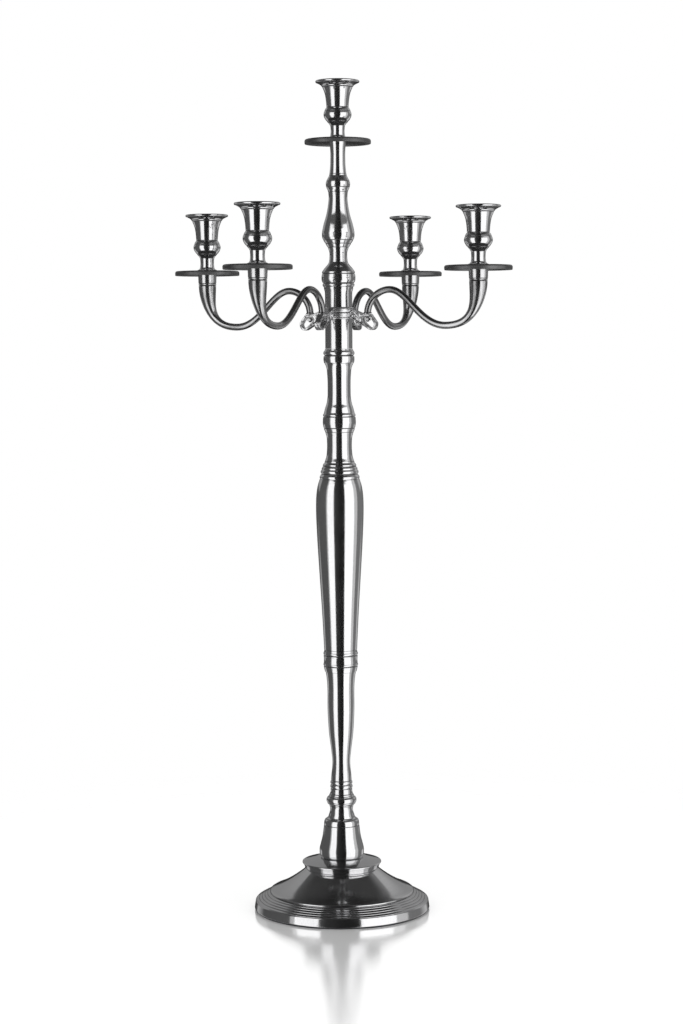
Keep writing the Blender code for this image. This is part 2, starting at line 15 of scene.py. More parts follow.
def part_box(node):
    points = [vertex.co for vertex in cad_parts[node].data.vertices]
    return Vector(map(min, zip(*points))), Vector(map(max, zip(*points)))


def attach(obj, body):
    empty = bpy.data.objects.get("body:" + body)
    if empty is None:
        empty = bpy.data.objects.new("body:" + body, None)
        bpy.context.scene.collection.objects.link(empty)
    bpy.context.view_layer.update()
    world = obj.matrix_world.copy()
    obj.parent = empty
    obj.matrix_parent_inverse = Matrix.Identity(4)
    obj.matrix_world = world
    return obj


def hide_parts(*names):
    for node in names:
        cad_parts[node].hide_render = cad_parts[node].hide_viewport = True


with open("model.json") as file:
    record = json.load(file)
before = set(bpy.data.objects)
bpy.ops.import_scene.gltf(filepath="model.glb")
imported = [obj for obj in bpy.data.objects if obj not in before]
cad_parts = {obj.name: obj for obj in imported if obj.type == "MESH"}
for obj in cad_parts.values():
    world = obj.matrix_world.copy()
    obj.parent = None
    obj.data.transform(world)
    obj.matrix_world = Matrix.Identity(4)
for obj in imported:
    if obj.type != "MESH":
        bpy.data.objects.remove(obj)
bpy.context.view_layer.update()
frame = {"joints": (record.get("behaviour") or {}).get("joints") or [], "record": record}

BODY_OF = {node: body for body, nodes in frame["record"]["behaviour"]["bodies"].items() for node in nodes}
AXIS_OF = {joint["name"]: joint.get("pos_m") for joint in frame["joints"]}

# Camera, in front of the object, at about two thirds of its height
CAMERA_PLACE = (0.002, -2.801, 0.693)
CAMERA_PITCH_DEG = -4.25
CAMERA_ROLL_DEG = -0.33
CAMERA_LENS = 81.84

# Facets and curve runs of the turned pieces
COLUMN_FACETS = 144
BASE_FACETS = 216
SMALL_FACETS = 96
THREAD_FACETS = 48
CURVE_RUNS = 10
CORNER = 0.00022          # how far a crisp edge is eased
CORNER_RUNS = 3
CRISP_DEG = 20            # corners sharper than this are eased
SUPPORT = 0.0004          # points close to each end of a straight run keep its shading flat

# Shapes of one stretch of a turned outline, going up
CONE = "cone"             # straight
FLOW = "flow"             # one smooth curve through the ends of neighbouring flow stretches
BULGE = "bulge"           # quarter round, upright at its wide end
COVE = "cove"             # quarter hollow, upright at its narrow end
DISH = "dish"             # long slope that sags below the straight line
GROOVE = "groove"         # cut with a narrow round tool
BEAD = "bead"             # shallow raised ring
GROOVE_DEPTH = 0.55       # of its width
BEAD_PROUD = 0.16         # of its width

# Base
BASE_RADIUS = 0.1065
BASE_WALL = 0.004
BASE_WEB = 0.0045
MOULDING_COUNT = 5
MOULDING_STEP = 0.00334
MOULDING_RISE = 0.00184
MOULDING_ROUND = (0.36, 0.20)       # rise and step of its round nose, as parts of the whole
MOULDING_TREAD = (0.46, 0.86)       # rise of its tread, and how far in the tread ends
MOULDING_GROOVE = 0.18              # rise of the groove behind it
# painted shade inside the hollow of the base
INSIDE_SHADE = 0.5
FELT_WIDTH = 0.012
SLOPE_SAG = 0.0025
ROD_BORE = 0.0045
BASE_FOOT = (
    BASE_RADIUS - 0.0010,
    (BULGE, 0.0010, BASE_RADIUS),
    (CONE, 0.0078, BASE_RADIUS - 0.0011),
    (BULGE, 0.0017, BASE_RADIUS - 0.0024),
)
BASE_RIM = (
    (GROOVE, 0.0007, 0.0877),
    (BULGE, 0.0014, 0.0868),
    (BEAD, 0.0006, 0.0860),
    (DISH, 0.0265, 0.0430),
)
BASE_PLATE = (
    0.0442,
    (CONE, 0.0006, 0.0449),
    (FLOW, 0.0026, 0.0458),
    (FLOW, 0.0026, 0.0470),
    (BULGE, 0.0010, 0.0480),
    (BULGE, 0.0012, 0.0466),
    (FLOW, 0.0018, 0.0400),
    (FLOW, 0.0027, 0.0300),
)

# Column, from the base up: a start radius, then (shape, rise, radius) stretches
COLUMN = {
    "column_foot": (
        0.0248,
        (BULGE, 0.0062, 0.0270),
        (FLOW, 0.0036, 0.0270),
        (FLOW, 0.0067, 0.0256),
        (FLOW, 0.0077, 0.0236),
        (FLOW, 0.0150, 0.0215),
        (GROOVE, 0.0008, 0.0214),
        (BULGE, 0.0067, 0.0194),
        (GROOVE, 0.0007, 0.0186),
        (COVE, 0.0029, 0.0160),
        (FLOW, 0.0060, 0.0141),
        (FLOW, 0.0040, 0.0138),
        (CONE, 0.0023, 0.0144),
    ),
    "foot_ring": (
        0.0146,
        (CONE, 0.0012, 0.0150),
        (GROOVE, 0.0007, 0.0153),
        (BULGE, 0.0022, 0.0172),
        (GROOVE, 0.0006, 0.0175),
        (BULGE, 0.0026, 0.0182),
        (BULGE, 0.0036, 0.0160),
        (GROOVE, 0.0006, 0.0157),
        (BEAD, 0.0014, 0.0149),
        (CONE, 0.0016, 0.0144),
    ),
    "lower_vase": (
        0.0142,
        (COVE, 0.0050, 0.0131),
        (CONE, 0.0012, 0.0130),
        (GROOVE, 0.0008, 0.0130),
        (BEAD, 0.0041, 0.0128),
        (GROOVE, 0.0008, 0.0128),
        (BEAD, 0.0041, 0.0126),
        (GROOVE, 0.0007, 0.0125),
        (FLOW, 0.0063, 0.0121),
        (FLOW, 0.0090, 0.0111),
        (FLOW, 0.0080, 0.0108),
        (FLOW, 0.0120, 0.0119),
        (FLOW, 0.0220, 0.0146),
        (FLOW, 0.0230, 0.0160),
        (FLOW, 0.0490, 0.0177),
        (FLOW, 0.0035, 0.0183),
    ),
    "belt_collar": (
        0.0191,
        (CONE, 0.0062, 0.0206),
        (GROOVE, 0.0013, 0.0206),
        (BEAD, 0.0026, 0.0205),
        (FLOW, 0.0040, 0.0203),
        (FLOW, 0.0041, 0.0204),
        (BEAD, 0.0012, 0.0205),
        (GROOVE, 0.0013, 0.0205),
        (BEAD, 0.0030, 0.0203),
        (CONE, 0.0027, 0.0197),
    ),
    "main_vase": (
        0.0199,
        (FLOW, 0.0409, 0.0219),
        (FLOW, 0.0485, 0.0248),
        (FLOW, 0.0485, 0.0276),
        (FLOW, 0.0250, 0.0286),
        (FLOW, 0.0110, 0.0287),
        (FLOW, 0.0120, 0.0283),
        (FLOW, 0.0080, 0.0274),
        (FLOW, 0.0064, 0.0261),
        (FLOW, 0.0044, 0.0247),
        (CONE, 0.0020, 0.0240),
    ),
    "neck_collar": (
        0.0236,
        (BEAD, 0.0046, 0.0229),
        (CONE, 0.0008, 0.0225),
        (GROOVE, 0.0014, 0.0224),
        (BEAD, 0.0040, 0.0219),
        (CONE, 0.0004, 0.0213),
        (BEAD, 0.0032, 0.0206),
        (GROOVE, 0.0012, 0.0200),
        (BEAD, 0.0030, 0.0190),
        (COVE, 0.0026, 0.0178),
    ),
    "lower_baluster": (
        0.0176,
        (FLOW, 0.0044, 0.0161),
        (FLOW, 0.0080, 0.0151),
        (FLOW, 0.0090, 0.0149),
        (FLOW, 0.0090, 0.0157),
        (FLOW, 0.0040, 0.0169),
        (GROOVE, 0.0006, 0.0171),
        (CONE, 0.0040, 0.0187),
        (GROOVE, 0.0012, 0.0190),
        (FLOW, 0.0050, 0.0198),
        (FLOW, 0.0075, 0.0196),
        (GROOVE, 0.0013, 0.0193),
        (BEAD, 0.0030, 0.0188),
        (CONE, 0.0009, 0.0184),
        (FLOW, 0.0060, 0.0169),
        (FLOW, 0.0050, 0.0153),
        (FLOW, 0.0080, 0.0140),
        (FLOW, 0.0080, 0.0138),
        (FLOW, 0.0200, 0.0143),
        (FLOW, 0.0060, 0.0149),
        (FLOW, 0.0040, 0.0161),
        (FLOW, 0.0023, 0.0173),
    ),
    "ring_collar": (
        0.0176,
        (CONE, 0.0008, 0.0181),
        (FLOW, 0.0036, 0.0186),
        (FLOW, 0.0038, 0.0184),
        (GROOVE, 0.0018, 0.0180),
        (BEAD, 0.0044, 0.0180),
        (CONE, 0.0006, 0.0172),
        (CONE, 0.0020, 0.0167),
    ),
    "lower_sleeve": (
        0.0163,
        (CONE, 0.0354, 0.0163),
    ),
    "upper_sleeve": (
        0.0163,
        (CONE, 0.0150, 0.0163),
        (FLOW, 0.0030, 0.0165),
        (FLOW, 0.0035, 0.0174),
        (CONE, 0.0027, 0.0177),
    ),
    "crown_knob": (
        0.0183,
        (BEAD, 0.0034, 0.0188),
        (GROOVE, 0.0014, 0.0191),
        (FLOW, 0.0022, 0.0200),
        (FLOW, 0.0040, 0.0203),
        (FLOW, 0.0038, 0.0199),
        (GROOVE, 0.0012, 0.0196),
        (BEAD, 0.0034, 0.0186),
        (FLOW, 0.0030, 0.0164),
        (FLOW, 0.0026, 0.0140),
        (FLOW, 0.0022, 0.0124),
        (FLOW, 0.0018, 0.0115),
    ),
    "top_vase": (
        0.0113,
        (FLOW, 0.0061, 0.0106),
        (FLOW, 0.0060, 0.0108),
        (FLOW, 0.0050, 0.0125),
        (GROOVE, 0.0008, 0.0130),
        (FLOW, 0.0036, 0.0152),
        (GROOVE, 0.0009, 0.0157),
        (FLOW, 0.0033, 0.0178),
        (GROOVE, 0.0009, 0.0182),
        (FLOW, 0.0029, 0.0192),
        (FLOW, 0.0040, 0.0195),
        (FLOW, 0.0096, 0.0179),
        (FLOW, 0.0140, 0.0140),
        (FLOW, 0.0120, 0.0119),
        (FLOW, 0.0080, 0.0112),
        (FLOW, 0.0059, 0.0116),
    ),
    "top_bead": (
        0.0118,
        (FLOW, 0.0024, 0.0125),
        (FLOW, 0.0028, 0.0139),
        (GROOVE, 0.0009, 0.0141),
        (FLOW, 0.0030, 0.0145),
        (FLOW, 0.0030, 0.0143),
        (GROOVE, 0.0009, 0.0139),
        (FLOW, 0.0029, 0.0124),
        (FLOW, 0.0030, 0.0108),
        (GROOVE, 0.0006, 0.0106),
        (CONE, 0.0020, 0.0102),
    ),
    "top_spindle": (
        0.0101,
        (FLOW, 0.0060, 0.0094),
        (FLOW, 0.0120, 0.0089),
        (FLOW, 0.0100, 0.0090),
        (FLOW, 0.0060, 0.0096),
        (FLOW, 0.0037, 0.0102),
    ),
}

# Hub ring and its four lugs
HUB_RING = (
    0.0170,
    (CONE, 0.0010, 0.0174),
    (GROOVE, 0.0008, 0.0175),
    (BEAD, 0.0014, 0.0178),
    (CONE, 0.0032, 0.0177),
    (GROOVE, 0.0014, 0.0180),
    (BEAD, 0.0053, 0.0182),
    (CONE, 0.0006, 0.0176),
)
HUB_HEIGHT = 0.0137
LUG_SEAT = 0.0057         # the flat that an arm stands on, above the hub's underside
LUG_THICKNESS = 0.0084
LUG_ROOT_REACH = 0.0150
LUG_SHOULDER_REACH = 0.0186
LUG_ROOT_MARGIN = 0.0008
LUG_WALL = 0.0030
LUG_EYE_RADIUS = 0.0040
LUG_EYE_OUT = 0.006
LUG_EYE_DROP = 0.0125
LUG_WINDOW_HALF = 0.00484
LUG_WINDOW_CEILING = 0.0045
LUG_WINDOW_SILL = 0.0085
LUG_ARC_POINTS = 16
LUG_WINDOW_ARC_DEG = (15, -125)
LUG_OUTER_ARC_DEG = (25, -120)
LUG_BEAD = 0.0008         # radius of the raised bead round the lug and its window
LUG_BEAD_PROUD = 0.0009
LUG_BEAD_FROM = 0.0195
LUG_BEAD_SPACING = 0.6    # of its radius
LUG_VOXEL = 0.00038
LUG_SMOOTHING = 3
LUG_LUMP = 0.00022
LUG_COARSE = 330          # lumps per metre
LUG_FINE = 900
# painted shade in the hollows between the cast lumps
LUG_HOLLOW_SHADE = 1.6
TAIL_HOLE = 0.0024

# Arm
ARM_GAP = 0.0003
ARM_RADIUS = 0.0042
ARM_CREST_RADIUS = 0.0040
ARM_MOUTH_RADIUS = 0.0107
CREST_OUT = 0.0295        # crest of the arm, out from its foot
CREST_RISE = 0.0285       # and above its seat
TROUGH_BACK = 0.0430      # lowest point, back from the cup's axis
TROUGH_DROP = 0.0145      # and below its seat
MOUTH_RISE = 0.0376       # top of the horn, above its seat
ROUND_FOOT = 0.0160       # how far the arm runs on in line at each turning point
ROUND_CREST_IN = 0.0150
ROUND_CREST_OUT = 0.0240
ROUND_TROUGH_IN = 0.0340
ROUND_TROUGH_OUT = 0.0280
ROUND_MOUTH = 0.0380
ARM_STATIONS = (22, 30, 34)
ARM_SIDES = 48
SPIGOT_STEP = 0.002
FERRULE_SKIRT = 0.005
TAIL_LENGTH = 0.0095      # threaded tail below the seat
TAIL_RADIUS = 0.002
TAIL_PITCH = 0.0007
TAIL_POINT = 0.0003       # chamfer at its end
TAIL_PLAIN = 0.0005       # plain run at each end of its thread
TAIL_NECK = 0.0004
ARM_COLLAR = (            # (radius, height) up the collar that stands on the seat
    (0.0046, 0.0003), (0.0050, 0.0006), (0.0050, 0.0014), (0.0047, 0.0018), (0.0042, 0.0021),
)
ARM_BAR_FROM = 0.0026     # the plain bar starts above this height
MOUTH_EDGE = 0.0003

# Ferrule, pan and cup
FERRULE = (
    0.0106,
    (BEAD, 0.0012, 0.0109),
    (GROOVE, 0.0008, 0.0110),
    (FLOW, 0.0060, 0.0112),
    (FLOW, 0.0050, 0.0115),
    (CONE, 0.0010, 0.0114),
)
STUD_BORE = 0.0035
STUD_RADIUS = 0.003
STUD_PITCH = 0.001
THREAD_DEPTH = 0.14       # of the radius
PAN_RADIUS = 0.0397
PAN_THICKNESS = 0.0030
PAN_DROOP = 0.0020
PAN_SEAT_RADIUS = 0.0135
PAN_ROLL = 0.0024         # how round the rolled edge is
PAN_DOME = 0.0004         # how far the top has fallen where the roll starts
PAN_LIP = 0.0016
PAN_SKIRT = 0.0032        # how far the rolled edge hangs below the pan's flat
PAN_ROLL_DEG = 82
PAN_ROLL_POINTS = 14
PAN_RUNS = 20             # curve runs across its top
CUP = (
    0.0116,
    (BULGE, 0.0007, 0.0119),
    (COVE, 0.0043, 0.0086),
    (FLOW, 0.0030, 0.0083),
    (FLOW, 0.0040, 0.0084),
    (FLOW, 0.0030, 0.0088),
    (FLOW, 0.0026, 0.0103),
    (CONE, 0.0021, 0.0124),
    (GROOVE, 0.0009, 0.0131),
    (FLOW, 0.0027, 0.0151),
    (FLOW, 0.0030, 0.0164),
    (FLOW, 0.0026, 0.0167),
    (FLOW, 0.0030, 0.0160),
    (GROOVE, 0.0008, 0.0156),
    (FLOW, 0.0021, 0.0147),
    (FLOW, 0.0014, 0.0138),
    (GROOVE, 0.0011, 0.0134),
    (CONE, 0.0009, 0.0133),
    (FLOW, 0.0075, 0.0139),
    (FLOW, 0.0070, 0.0151),
    (FLOW, 0.0047, 0.0167),
    (FLOW, 0.0026, 0.0179),
    (GROOVE, 0.0009, 0.0183),
    (BEAD, 0.0014, 0.0192),
    (FLOW, 0.0013, 0.0208),
    (FLOW, 0.0010, 0.0226),
    (FLOW, 0.0010, 0.0245),
    (BULGE, 0.0016, 0.0263),
    (BULGE, 0.0015, 0.0247),
)
CUP_FUNNEL = 0.0130
CUP_SOCKET = 0.0215
CUP_LIP = 0.0010
SOCKET_SHADE = 0.4         # painted shade at the bottom of the socket
CANDLE_RADIUS = 0.0113
STUD_IN_CUP = 0.0078

# Fasteners
ROD_RADIUS = 0.004
ROD_PITCH = 0.00125
ROD_THREAD = 0.0200
ROD_NUT_FLATS = 0.013
ARM_NUT_FLATS = 0.007
ARM_NUT_BORE = 0.0024
NUT_CHAMFER = 0.0004
NUT_CORNER = 0.97         # radius of the washer faces, as a part of the flats'
FLANK = (0.4, 0.6)        # where a thread's crest starts and ends, as parts of its pitch

# Metal: noise scales are in waves per metre, per axis where there are three
HAZE_SCALE = 32.0
CLOUD_SCALE = 9.0
TURNING_SCALE = (3.0, 3.0, 900.0)
HAIR_SCALE = (420.0, 420.0, 420.0)
BUFFING_SCALE = (900.0, 900.0, 60.0)
WAVE_SCALE = 95.0
PIT_SCALE = 620.0
DRAWN_LENGTH = 7.0        # length of the pattern for a metre of arm, where the arm is 2 across
DRAWN_SCALE = 3.2
DRAWN_RELIEF = 2.2
MOTTLE = 0.12
ARM_DARKEST_OUT_TO = 0.085      # arms are darkest out to here from the column's axis
ARM_BRIGHT_FROM = 0.150        # and as bright as the rest from here
ARM_HUB_DARKENING = 0.62
# painted shade in grooves and hollows: its colour, how fully it covers, and the roughness it adds
RECESS_SHADE_COLOUR = (0.03, 0.03, 0.029, 1.0)
RECESS_SHADE_COVER = 0.86
RECESS_ROUGHNESS = 0.35
METAL_BUMP = 0.35
METAL_BUMP_DEPTH = 0.0002

# Studio
SOFTBOX_DISTANCE = 2.3
SOFTBOX_RADIANCE = 1.15
SOFTBOX_EDGE_RADIANCE = 0.42
SOFTBOX_FOOT = -4.0
SOFTBOX_TOP = 2.0
SOFTBOXES = (             # name, azimuth in degrees, width, radiance
    ("left_softbox", -46.5, 1.35, SOFTBOX_RADIANCE),
    ("left_softbox_edge", -66, 0.34, SOFTBOX_EDGE_RADIANCE),
    ("right_softbox", 49, 2.14, SOFTBOX_RADIANCE),
    ("right_softbox_edge", 84, 0.80, SOFTBOX_EDGE_RADIANCE),
)
FLOOR_SOLID = 0.46        # the floor is whole out to here, then fades into the background
FLOOR_FADE = 0.46
FLOOR_CHALK = 0.97
FLOOR_GLOSS = (0.62, 0.25)          # beside the base, and further out
FLOOR_GLOSS_REACH = (0.10, 0.75)
LEFT_WALL = 0.062         # brightness of what the metal reflects
RIGHT_WALL = 0.175
BACKDROP = 0.23
LOW_STRIP = 0.40
GAP_LEFT = 0.030          # least brightness anywhere, as in the gap round the camera
GAP_RIGHT = 0.010


def between(a, b, t):
    return a + (b - a) * t


def camera():
    data = bpy.data.cameras.new("camera")
    data.sensor_fit = "AUTO"
    data.sensor_width = 36
    data.lens = CAMERA_LENS
    data.clip_start = 0.05
    data.clip_end = 50
    item = bpy.data.objects.new("camera", data)
    bpy.context.scene.collection.objects.link(item)
    tilt = Matrix.Rotation(math.radians(90 + CAMERA_PITCH_DEG), 4, "X")
    roll = Matrix.Rotation(math.radians(CAMERA_ROLL_DEG), 4, "Z")
    item.matrix_world = Matrix.Translation(CAMERA_PLACE) @ tilt @ roll
    bpy.context.scene.camera = item
    bpy.context.scene.view_settings.view_transform = "Standard"


# ---------------------------------------------------------------- outlines

def stretch(shape, start, end, t, sag=0.0):
    """The (radius, height) point at t, from 0 to 1, along one stretch of an outline."""
    (r0, z0), (r1, z1) = start, end
    rise = z1 - z0
    quarter = math.pi / 2 * t
    rising, falling = math.sin(quarter), 1 - math.cos(quarter)
    if shape == GROOVE:
        return between(r0, r1, t) - GROOVE_DEPTH * rise * math.sin(math.pi * t), between(z0, z1, t)
    if shape == BEAD:
        return between(r0, r1, t) + BEAD_PROUD * rise * math.sin(math.pi * t), between(z0, z1, t)
    if shape == DISH:
        return between(r0, r1, t), between(z0, z1, t) - 4 * sag * t * (1 - t)
    if (shape == BULGE) == (r1 > r0):
        return between(r0, r1, rising), between(z0, z1, falling)
    return between(r0, r1, falling), between(z0, z1, rising)


def flow_slope(section, radii, index, side):
    """Slope of a flow stretch at its start (side -1) or end (side 1), shared with its neighbour."""
    def chord(i):
        return (radii[i + 1] - radii[i]) / section[i + 1][1]

    other = index + side
    if not 0 <= other < len(section) - 1 or section[other + 1][0] != FLOW:
        return chord(index)
    here, there = section[index + 1][1], section[other + 1][1]
    return (chord(index) * there + chord(other) * here) / (here + there)


def hermite(start, end, slope0, slope1, t):
    """A smooth curve between two (radius, height) points with given slopes."""
    (r0, z0), (r1, z1) = start, end
    rise = z1 - z0
    t2, t3 = t * t, t * t * t
    radius = (2 * t3 - 3 * t2 + 1) * r0 + (t3 - 2 * t2 + t) * rise * slope0
    radius += (3 * t2 - 2 * t3) * r1 + (t3 - t2) * rise * slope1
    return radius, between(z0, z1, t)


def outline(section, z=0.0, sag=0.0):
    """(radius, height, painted shade) points up the outside of a turned piece."""
    radii = [section[0]] + [radius for _, _, radius in section[1:]]
    points = [(section[0], z, 0.0)]
    for index, (shape, rise, radius) in enumerate(section[1:]):
        start = points[-1][:2]
        end = (radius, start[1] + rise)
        if shape == CONE:
            length = math.dist(start, end)
            ease = min(SUPPORT / length, 0.3) if length else 0.3
            steps = (ease, 1 - ease, 1)
        else:
            steps = [i / CURVE_RUNS for i in range(1, CURVE_RUNS + 1)]
        if shape == FLOW:
            slopes = flow_slope(section, radii, index, -1), flow_slope(section, radii, index, 1)
        for t in steps:
            if shape == CONE:
                point = between(start[0], end[0], t), between(start[1], end[1], t)
            elif shape == FLOW:
                point = hermite(start, end, *slopes, t)
            else:
                point = stretch(shape, start, end, t, sag)
            # painted shade, darkest in the hollow of each groove
            painted_shade = math.sin(math.pi * t) if shape == GROOVE else 0.0
            points.append((*point, painted_shade))
    return points


def eased(points):
    """The outline with each crisp corner turned into a small round."""
    result = [points[0]]
    for before, corner, after in zip(points, points[1:], points[2:]):
        here = Vector(corner[:2])
        back, on = Vector(before[:2]) - here, Vector(after[:2]) - here
        if back.length < 1e-7 or on.length < 1e-7:
            continue
        turn = math.pi - back.angle(on)
        if turn < math.radians(CRISP_DEG):
            result.append(corner)
            continue
        reach = min(CORNER, back.length * 0.45, on.length * 0.45)
        start, end = here + back.normalized() * reach, here + on.normalized() * reach
        for i in range(CORNER_RUNS + 1):
            t = i / CORNER_RUNS
            point = start * (1 - t) ** 2 + here * 2 * t * (1 - t) + end * t * t
            result.append((point.x, point.y, corner[2]))
    result.append(points[-1])
    return result


def with_bore(points, bore):
    """The outline closed down a bore."""
    return points + [(bore, points[-1][1], 0.0), (bore, points[0][1], 0.0), points[0]]


# ---------------------------------------------------------------- meshes

def mesh_of(shape, name, sharp_deg=40):
    """A closed mesh, smooth but for edges that turn by more than sharp_deg."""
    bmesh.ops.remove_doubles(shape, verts=shape.verts, dist=1e-7)
    bmesh.ops.recalc_face_normals(shape, faces=shape.faces)
    mesh = bpy.data.meshes.new(name)
    shape.to_mesh(mesh)
    shape.free()
    mesh.shade_smooth()
    mesh.set_sharp_from_angle(angle=math.radians(sharp_deg))
    return mesh


def spin(shape, row, facets):
    """Join a row of points in order, and turn them all the way round Z."""
    edges = [shape.edges.new(pair) for pair in zip(row, row[1:])]
    bmesh.ops.spin(
        shape, geom=row + edges, axis=(0, 0, 1), cent=(0, 0, 0),
        angle=math.tau, steps=facets, use_merge=True,
    )


def turned(name, points, facets):
    """A closed mesh turned about Z from an eased outline."""
    shape = bmesh.new()
    # painted shade of each point, which the metal paints near black in grooves and hollows
    painted_shade = shape.verts.layers.float.new("recess_shade")
    row = []
    for radius, height, recess_shade in eased(points):
        vert = shape.verts.new((radius, 0, height))
        vert[painted_shade] = recess_shade
        row.append(vert)
    spin(shape, row, facets)
    return mesh_of(shape, name)


def seat_of(node):
    """Bottom centre of a node."""
    low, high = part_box(node)
    return Vector(((low.x + high.x) / 2, (low.y + high.y) / 2, low.z))


def piece(name, mesh, node, material, matrix=None):
    """A finished piece in the place of a node, riding on the node's body."""
    mesh.transform(matrix or Matrix.Translation(seat_of(node)))
    item = bpy.data.objects.new(name, mesh)
    bpy.context.scene.collection.objects.link(item)
    mesh.materials.append(material)
    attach(item, BODY_OF[node])
    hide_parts(node)
    return item


# ---------------------------------------------------------------- materials

class Nodes:
    """Short forms for building a node tree."""

    def __init__(self, tree):
        self.tree = tree
        self.tree.nodes.clear()

    def feed(self, socket, value):
        """A link from another node's output, or a number or colour of the socket's own."""
        if isinstance(value, bpy.types.NodeSocket):
            self.tree.links.new(value, socket)
        else:
            socket.default_value = value

    def add(self, kind, settings=None, **inputs):
        """A node with its inputs fed by name, or by place: i0, i1 and so on."""
        node = self.tree.nodes.new(kind)
        for key, value in (settings or {}).items():
            setattr(node, key, value)
        for key, value in inputs.items():
            by_place = key[0] == "i" and key[1:].isdigit()
            self.feed(node.inputs[int(key[1:]) if by_place else key.replace("_", " ")], value)
        return node

    def math(self, operation, a, b=0.0):
        return self.add("ShaderNodeMath", {"operation": operation}, i0=a, i1=b).outputs[0]

    def span(self, value, low, high, to_low=0.0, to_high=1.0, smooth=True):
        """value mapped from one range to another, held at the ends."""
        kind = "SMOOTHSTEP" if smooth else "LINEAR"
        node = self.add(
            "ShaderNodeMapRange", {"interpolation_type": kind}, Value=value,
            From_Min=low, From_Max=high, To_Min=to_low, To_Max=to_high,
        )
        return node.outputs["Result"]

    def noise(self, vector, scale, detail=2.0, rough=0.5):
        node = self.add(
            "ShaderNodeTexNoise", None, Vector=vector, Scale=scale, Detail=detail, Roughness=rough,
        )
        return node.outputs["Fac"]

    def length(self, vector):
        return self.add("ShaderNodeVectorMath", {"operation": "LENGTH"}, i0=vector).outputs["Value"]

    def attribute(self, name):
        return self.add("ShaderNodeAttribute", {"attribute_name": name}).outputs["Fac"]

    def stretched(self, vector, scale):
        return self.add("ShaderNodeMapping", None, Vector=vector, Scale=scale).outputs["Vector"]

    def blend(self, factor, a, b):
        node = self.add("ShaderNodeMix", {"data_type": "RGBA"})
        for index, value in ((0, factor), (6, a), (7, b)):
            self.feed(node.inputs[index], value)
        return node.outputs[2]


def grey(value):
    return value, value, value * 1.01, 1.0


def metal(name, tone, roughness, turning=0.0, waviness=0.0, pits=0.0, drawn=0.0):
    """Polished metal with turning rings, buffing haze, hand-polished waves, and painted shade in its
    grooves and hollows, which are also made rougher.

    drawn adds dark lines along a swept bar, and darkens its colour towards the hub.
    """
    material = bpy.data.materials.new(name)
    material.use_nodes = True
    n = Nodes(material.node_tree)
    place = n.add("ShaderNodeTexCoord").outputs["Object"]
    haze = n.noise(place, HAZE_SCALE, 4.0, 0.6)
    cloud = n.noise(place, CLOUD_SCALE)
    rings = n.noise(n.stretched(place, TURNING_SCALE), 1.0, 3.0, 0.7)
    hairs = n.noise(n.stretched(place, HAIR_SCALE), 1.0)
    buffed = n.noise(n.stretched(place, BUFFING_SCALE), 1.0, 3.0, 0.7)
    painted_shade = n.attribute("recess_shade")

    colour = n.blend(n.span(cloud, 0.35, 0.65), grey(tone * 0.95), grey(tone * 1.03))
    colour = n.blend(n.span(rings, 0.3, 0.7, 0.0, 0.2 if turning else 0.08), colour, grey(tone * 0.86))
    colour = n.blend(n.span(buffed, 0.42, 0.75, 0.0, MOTTLE), colour, grey(tone * 0.35))
    relief = n.math("MULTIPLY", rings, turning)
    if drawn:
        along = n.math("MULTIPLY", n.length(place), DRAWN_LENGTH)
        section = n.add(
            "ShaderNodeCombineXYZ", None, X=n.attribute("across"), Y=n.attribute("over"), Z=along,
        )
        line = n.noise(section.outputs[0], DRAWN_SCALE, 4.0, 0.65)
        colour = n.blend(n.span(line, 0.40, 0.66, 0.0, drawn), colour, grey(tone * 0.16))
        relief = n.math("ADD", relief, n.math("MULTIPLY", line, DRAWN_RELIEF))
        # the arm's colour is darker close to the column's axis, and plain further out
        level = n.add("ShaderNodeVectorMath", {"operation": "MULTIPLY"}, i0=place, i1=(1.0, 1.0, 0.0))
        near_hub = n.span(n.length(level.outputs[0]), ARM_DARKEST_OUT_TO, ARM_BRIGHT_FROM, ARM_HUB_DARKENING, 0.0)
        colour = n.blend(near_hub, colour, grey(tone * 0.30))
    # painted shade: grooves and hollows are painted near black
    colour = n.blend(n.math("MULTIPLY", painted_shade, RECESS_SHADE_COVER), colour, RECESS_SHADE_COLOUR)

    rough = n.span(haze, 0.3, 0.72, roughness * 0.75, roughness * 1.35)
    rough = n.math("ADD", rough, n.span(rings, 0.45, 0.8, 0.0, 0.05 if turning else 0.02))
    rough = n.math("ADD", rough, n.math("MULTIPLY", painted_shade, RECESS_ROUGHNESS))

    relief = n.math("ADD", relief, n.math("MULTIPLY", hairs, 0.03))
    if waviness:
        wave = n.noise(place, WAVE_SCALE, 2.0, 0.45)
        relief = n.math("ADD", relief, n.math("MULTIPLY", wave, waviness))
    if pits:
        pit = n.add("ShaderNodeTexVoronoi", None, Vector=place, Scale=PIT_SCALE).outputs["Distance"]
        relief = n.math("ADD", relief, n.math("MULTIPLY", n.span(pit, 0.0, 0.25), pits))
    bump = n.add("ShaderNodeBump", None, Height=relief, Strength=METAL_BUMP, Distance=METAL_BUMP_DEPTH)

    shader = n.add(
        "ShaderNodeBsdfPrincipled", None, Base_Color=colour, Roughness=rough,
        Metallic=1.0, Normal=bump.outputs["Normal"],
    )
    n.add("ShaderNodeOutputMaterial", None, Surface=shader.outputs[0])
    return material


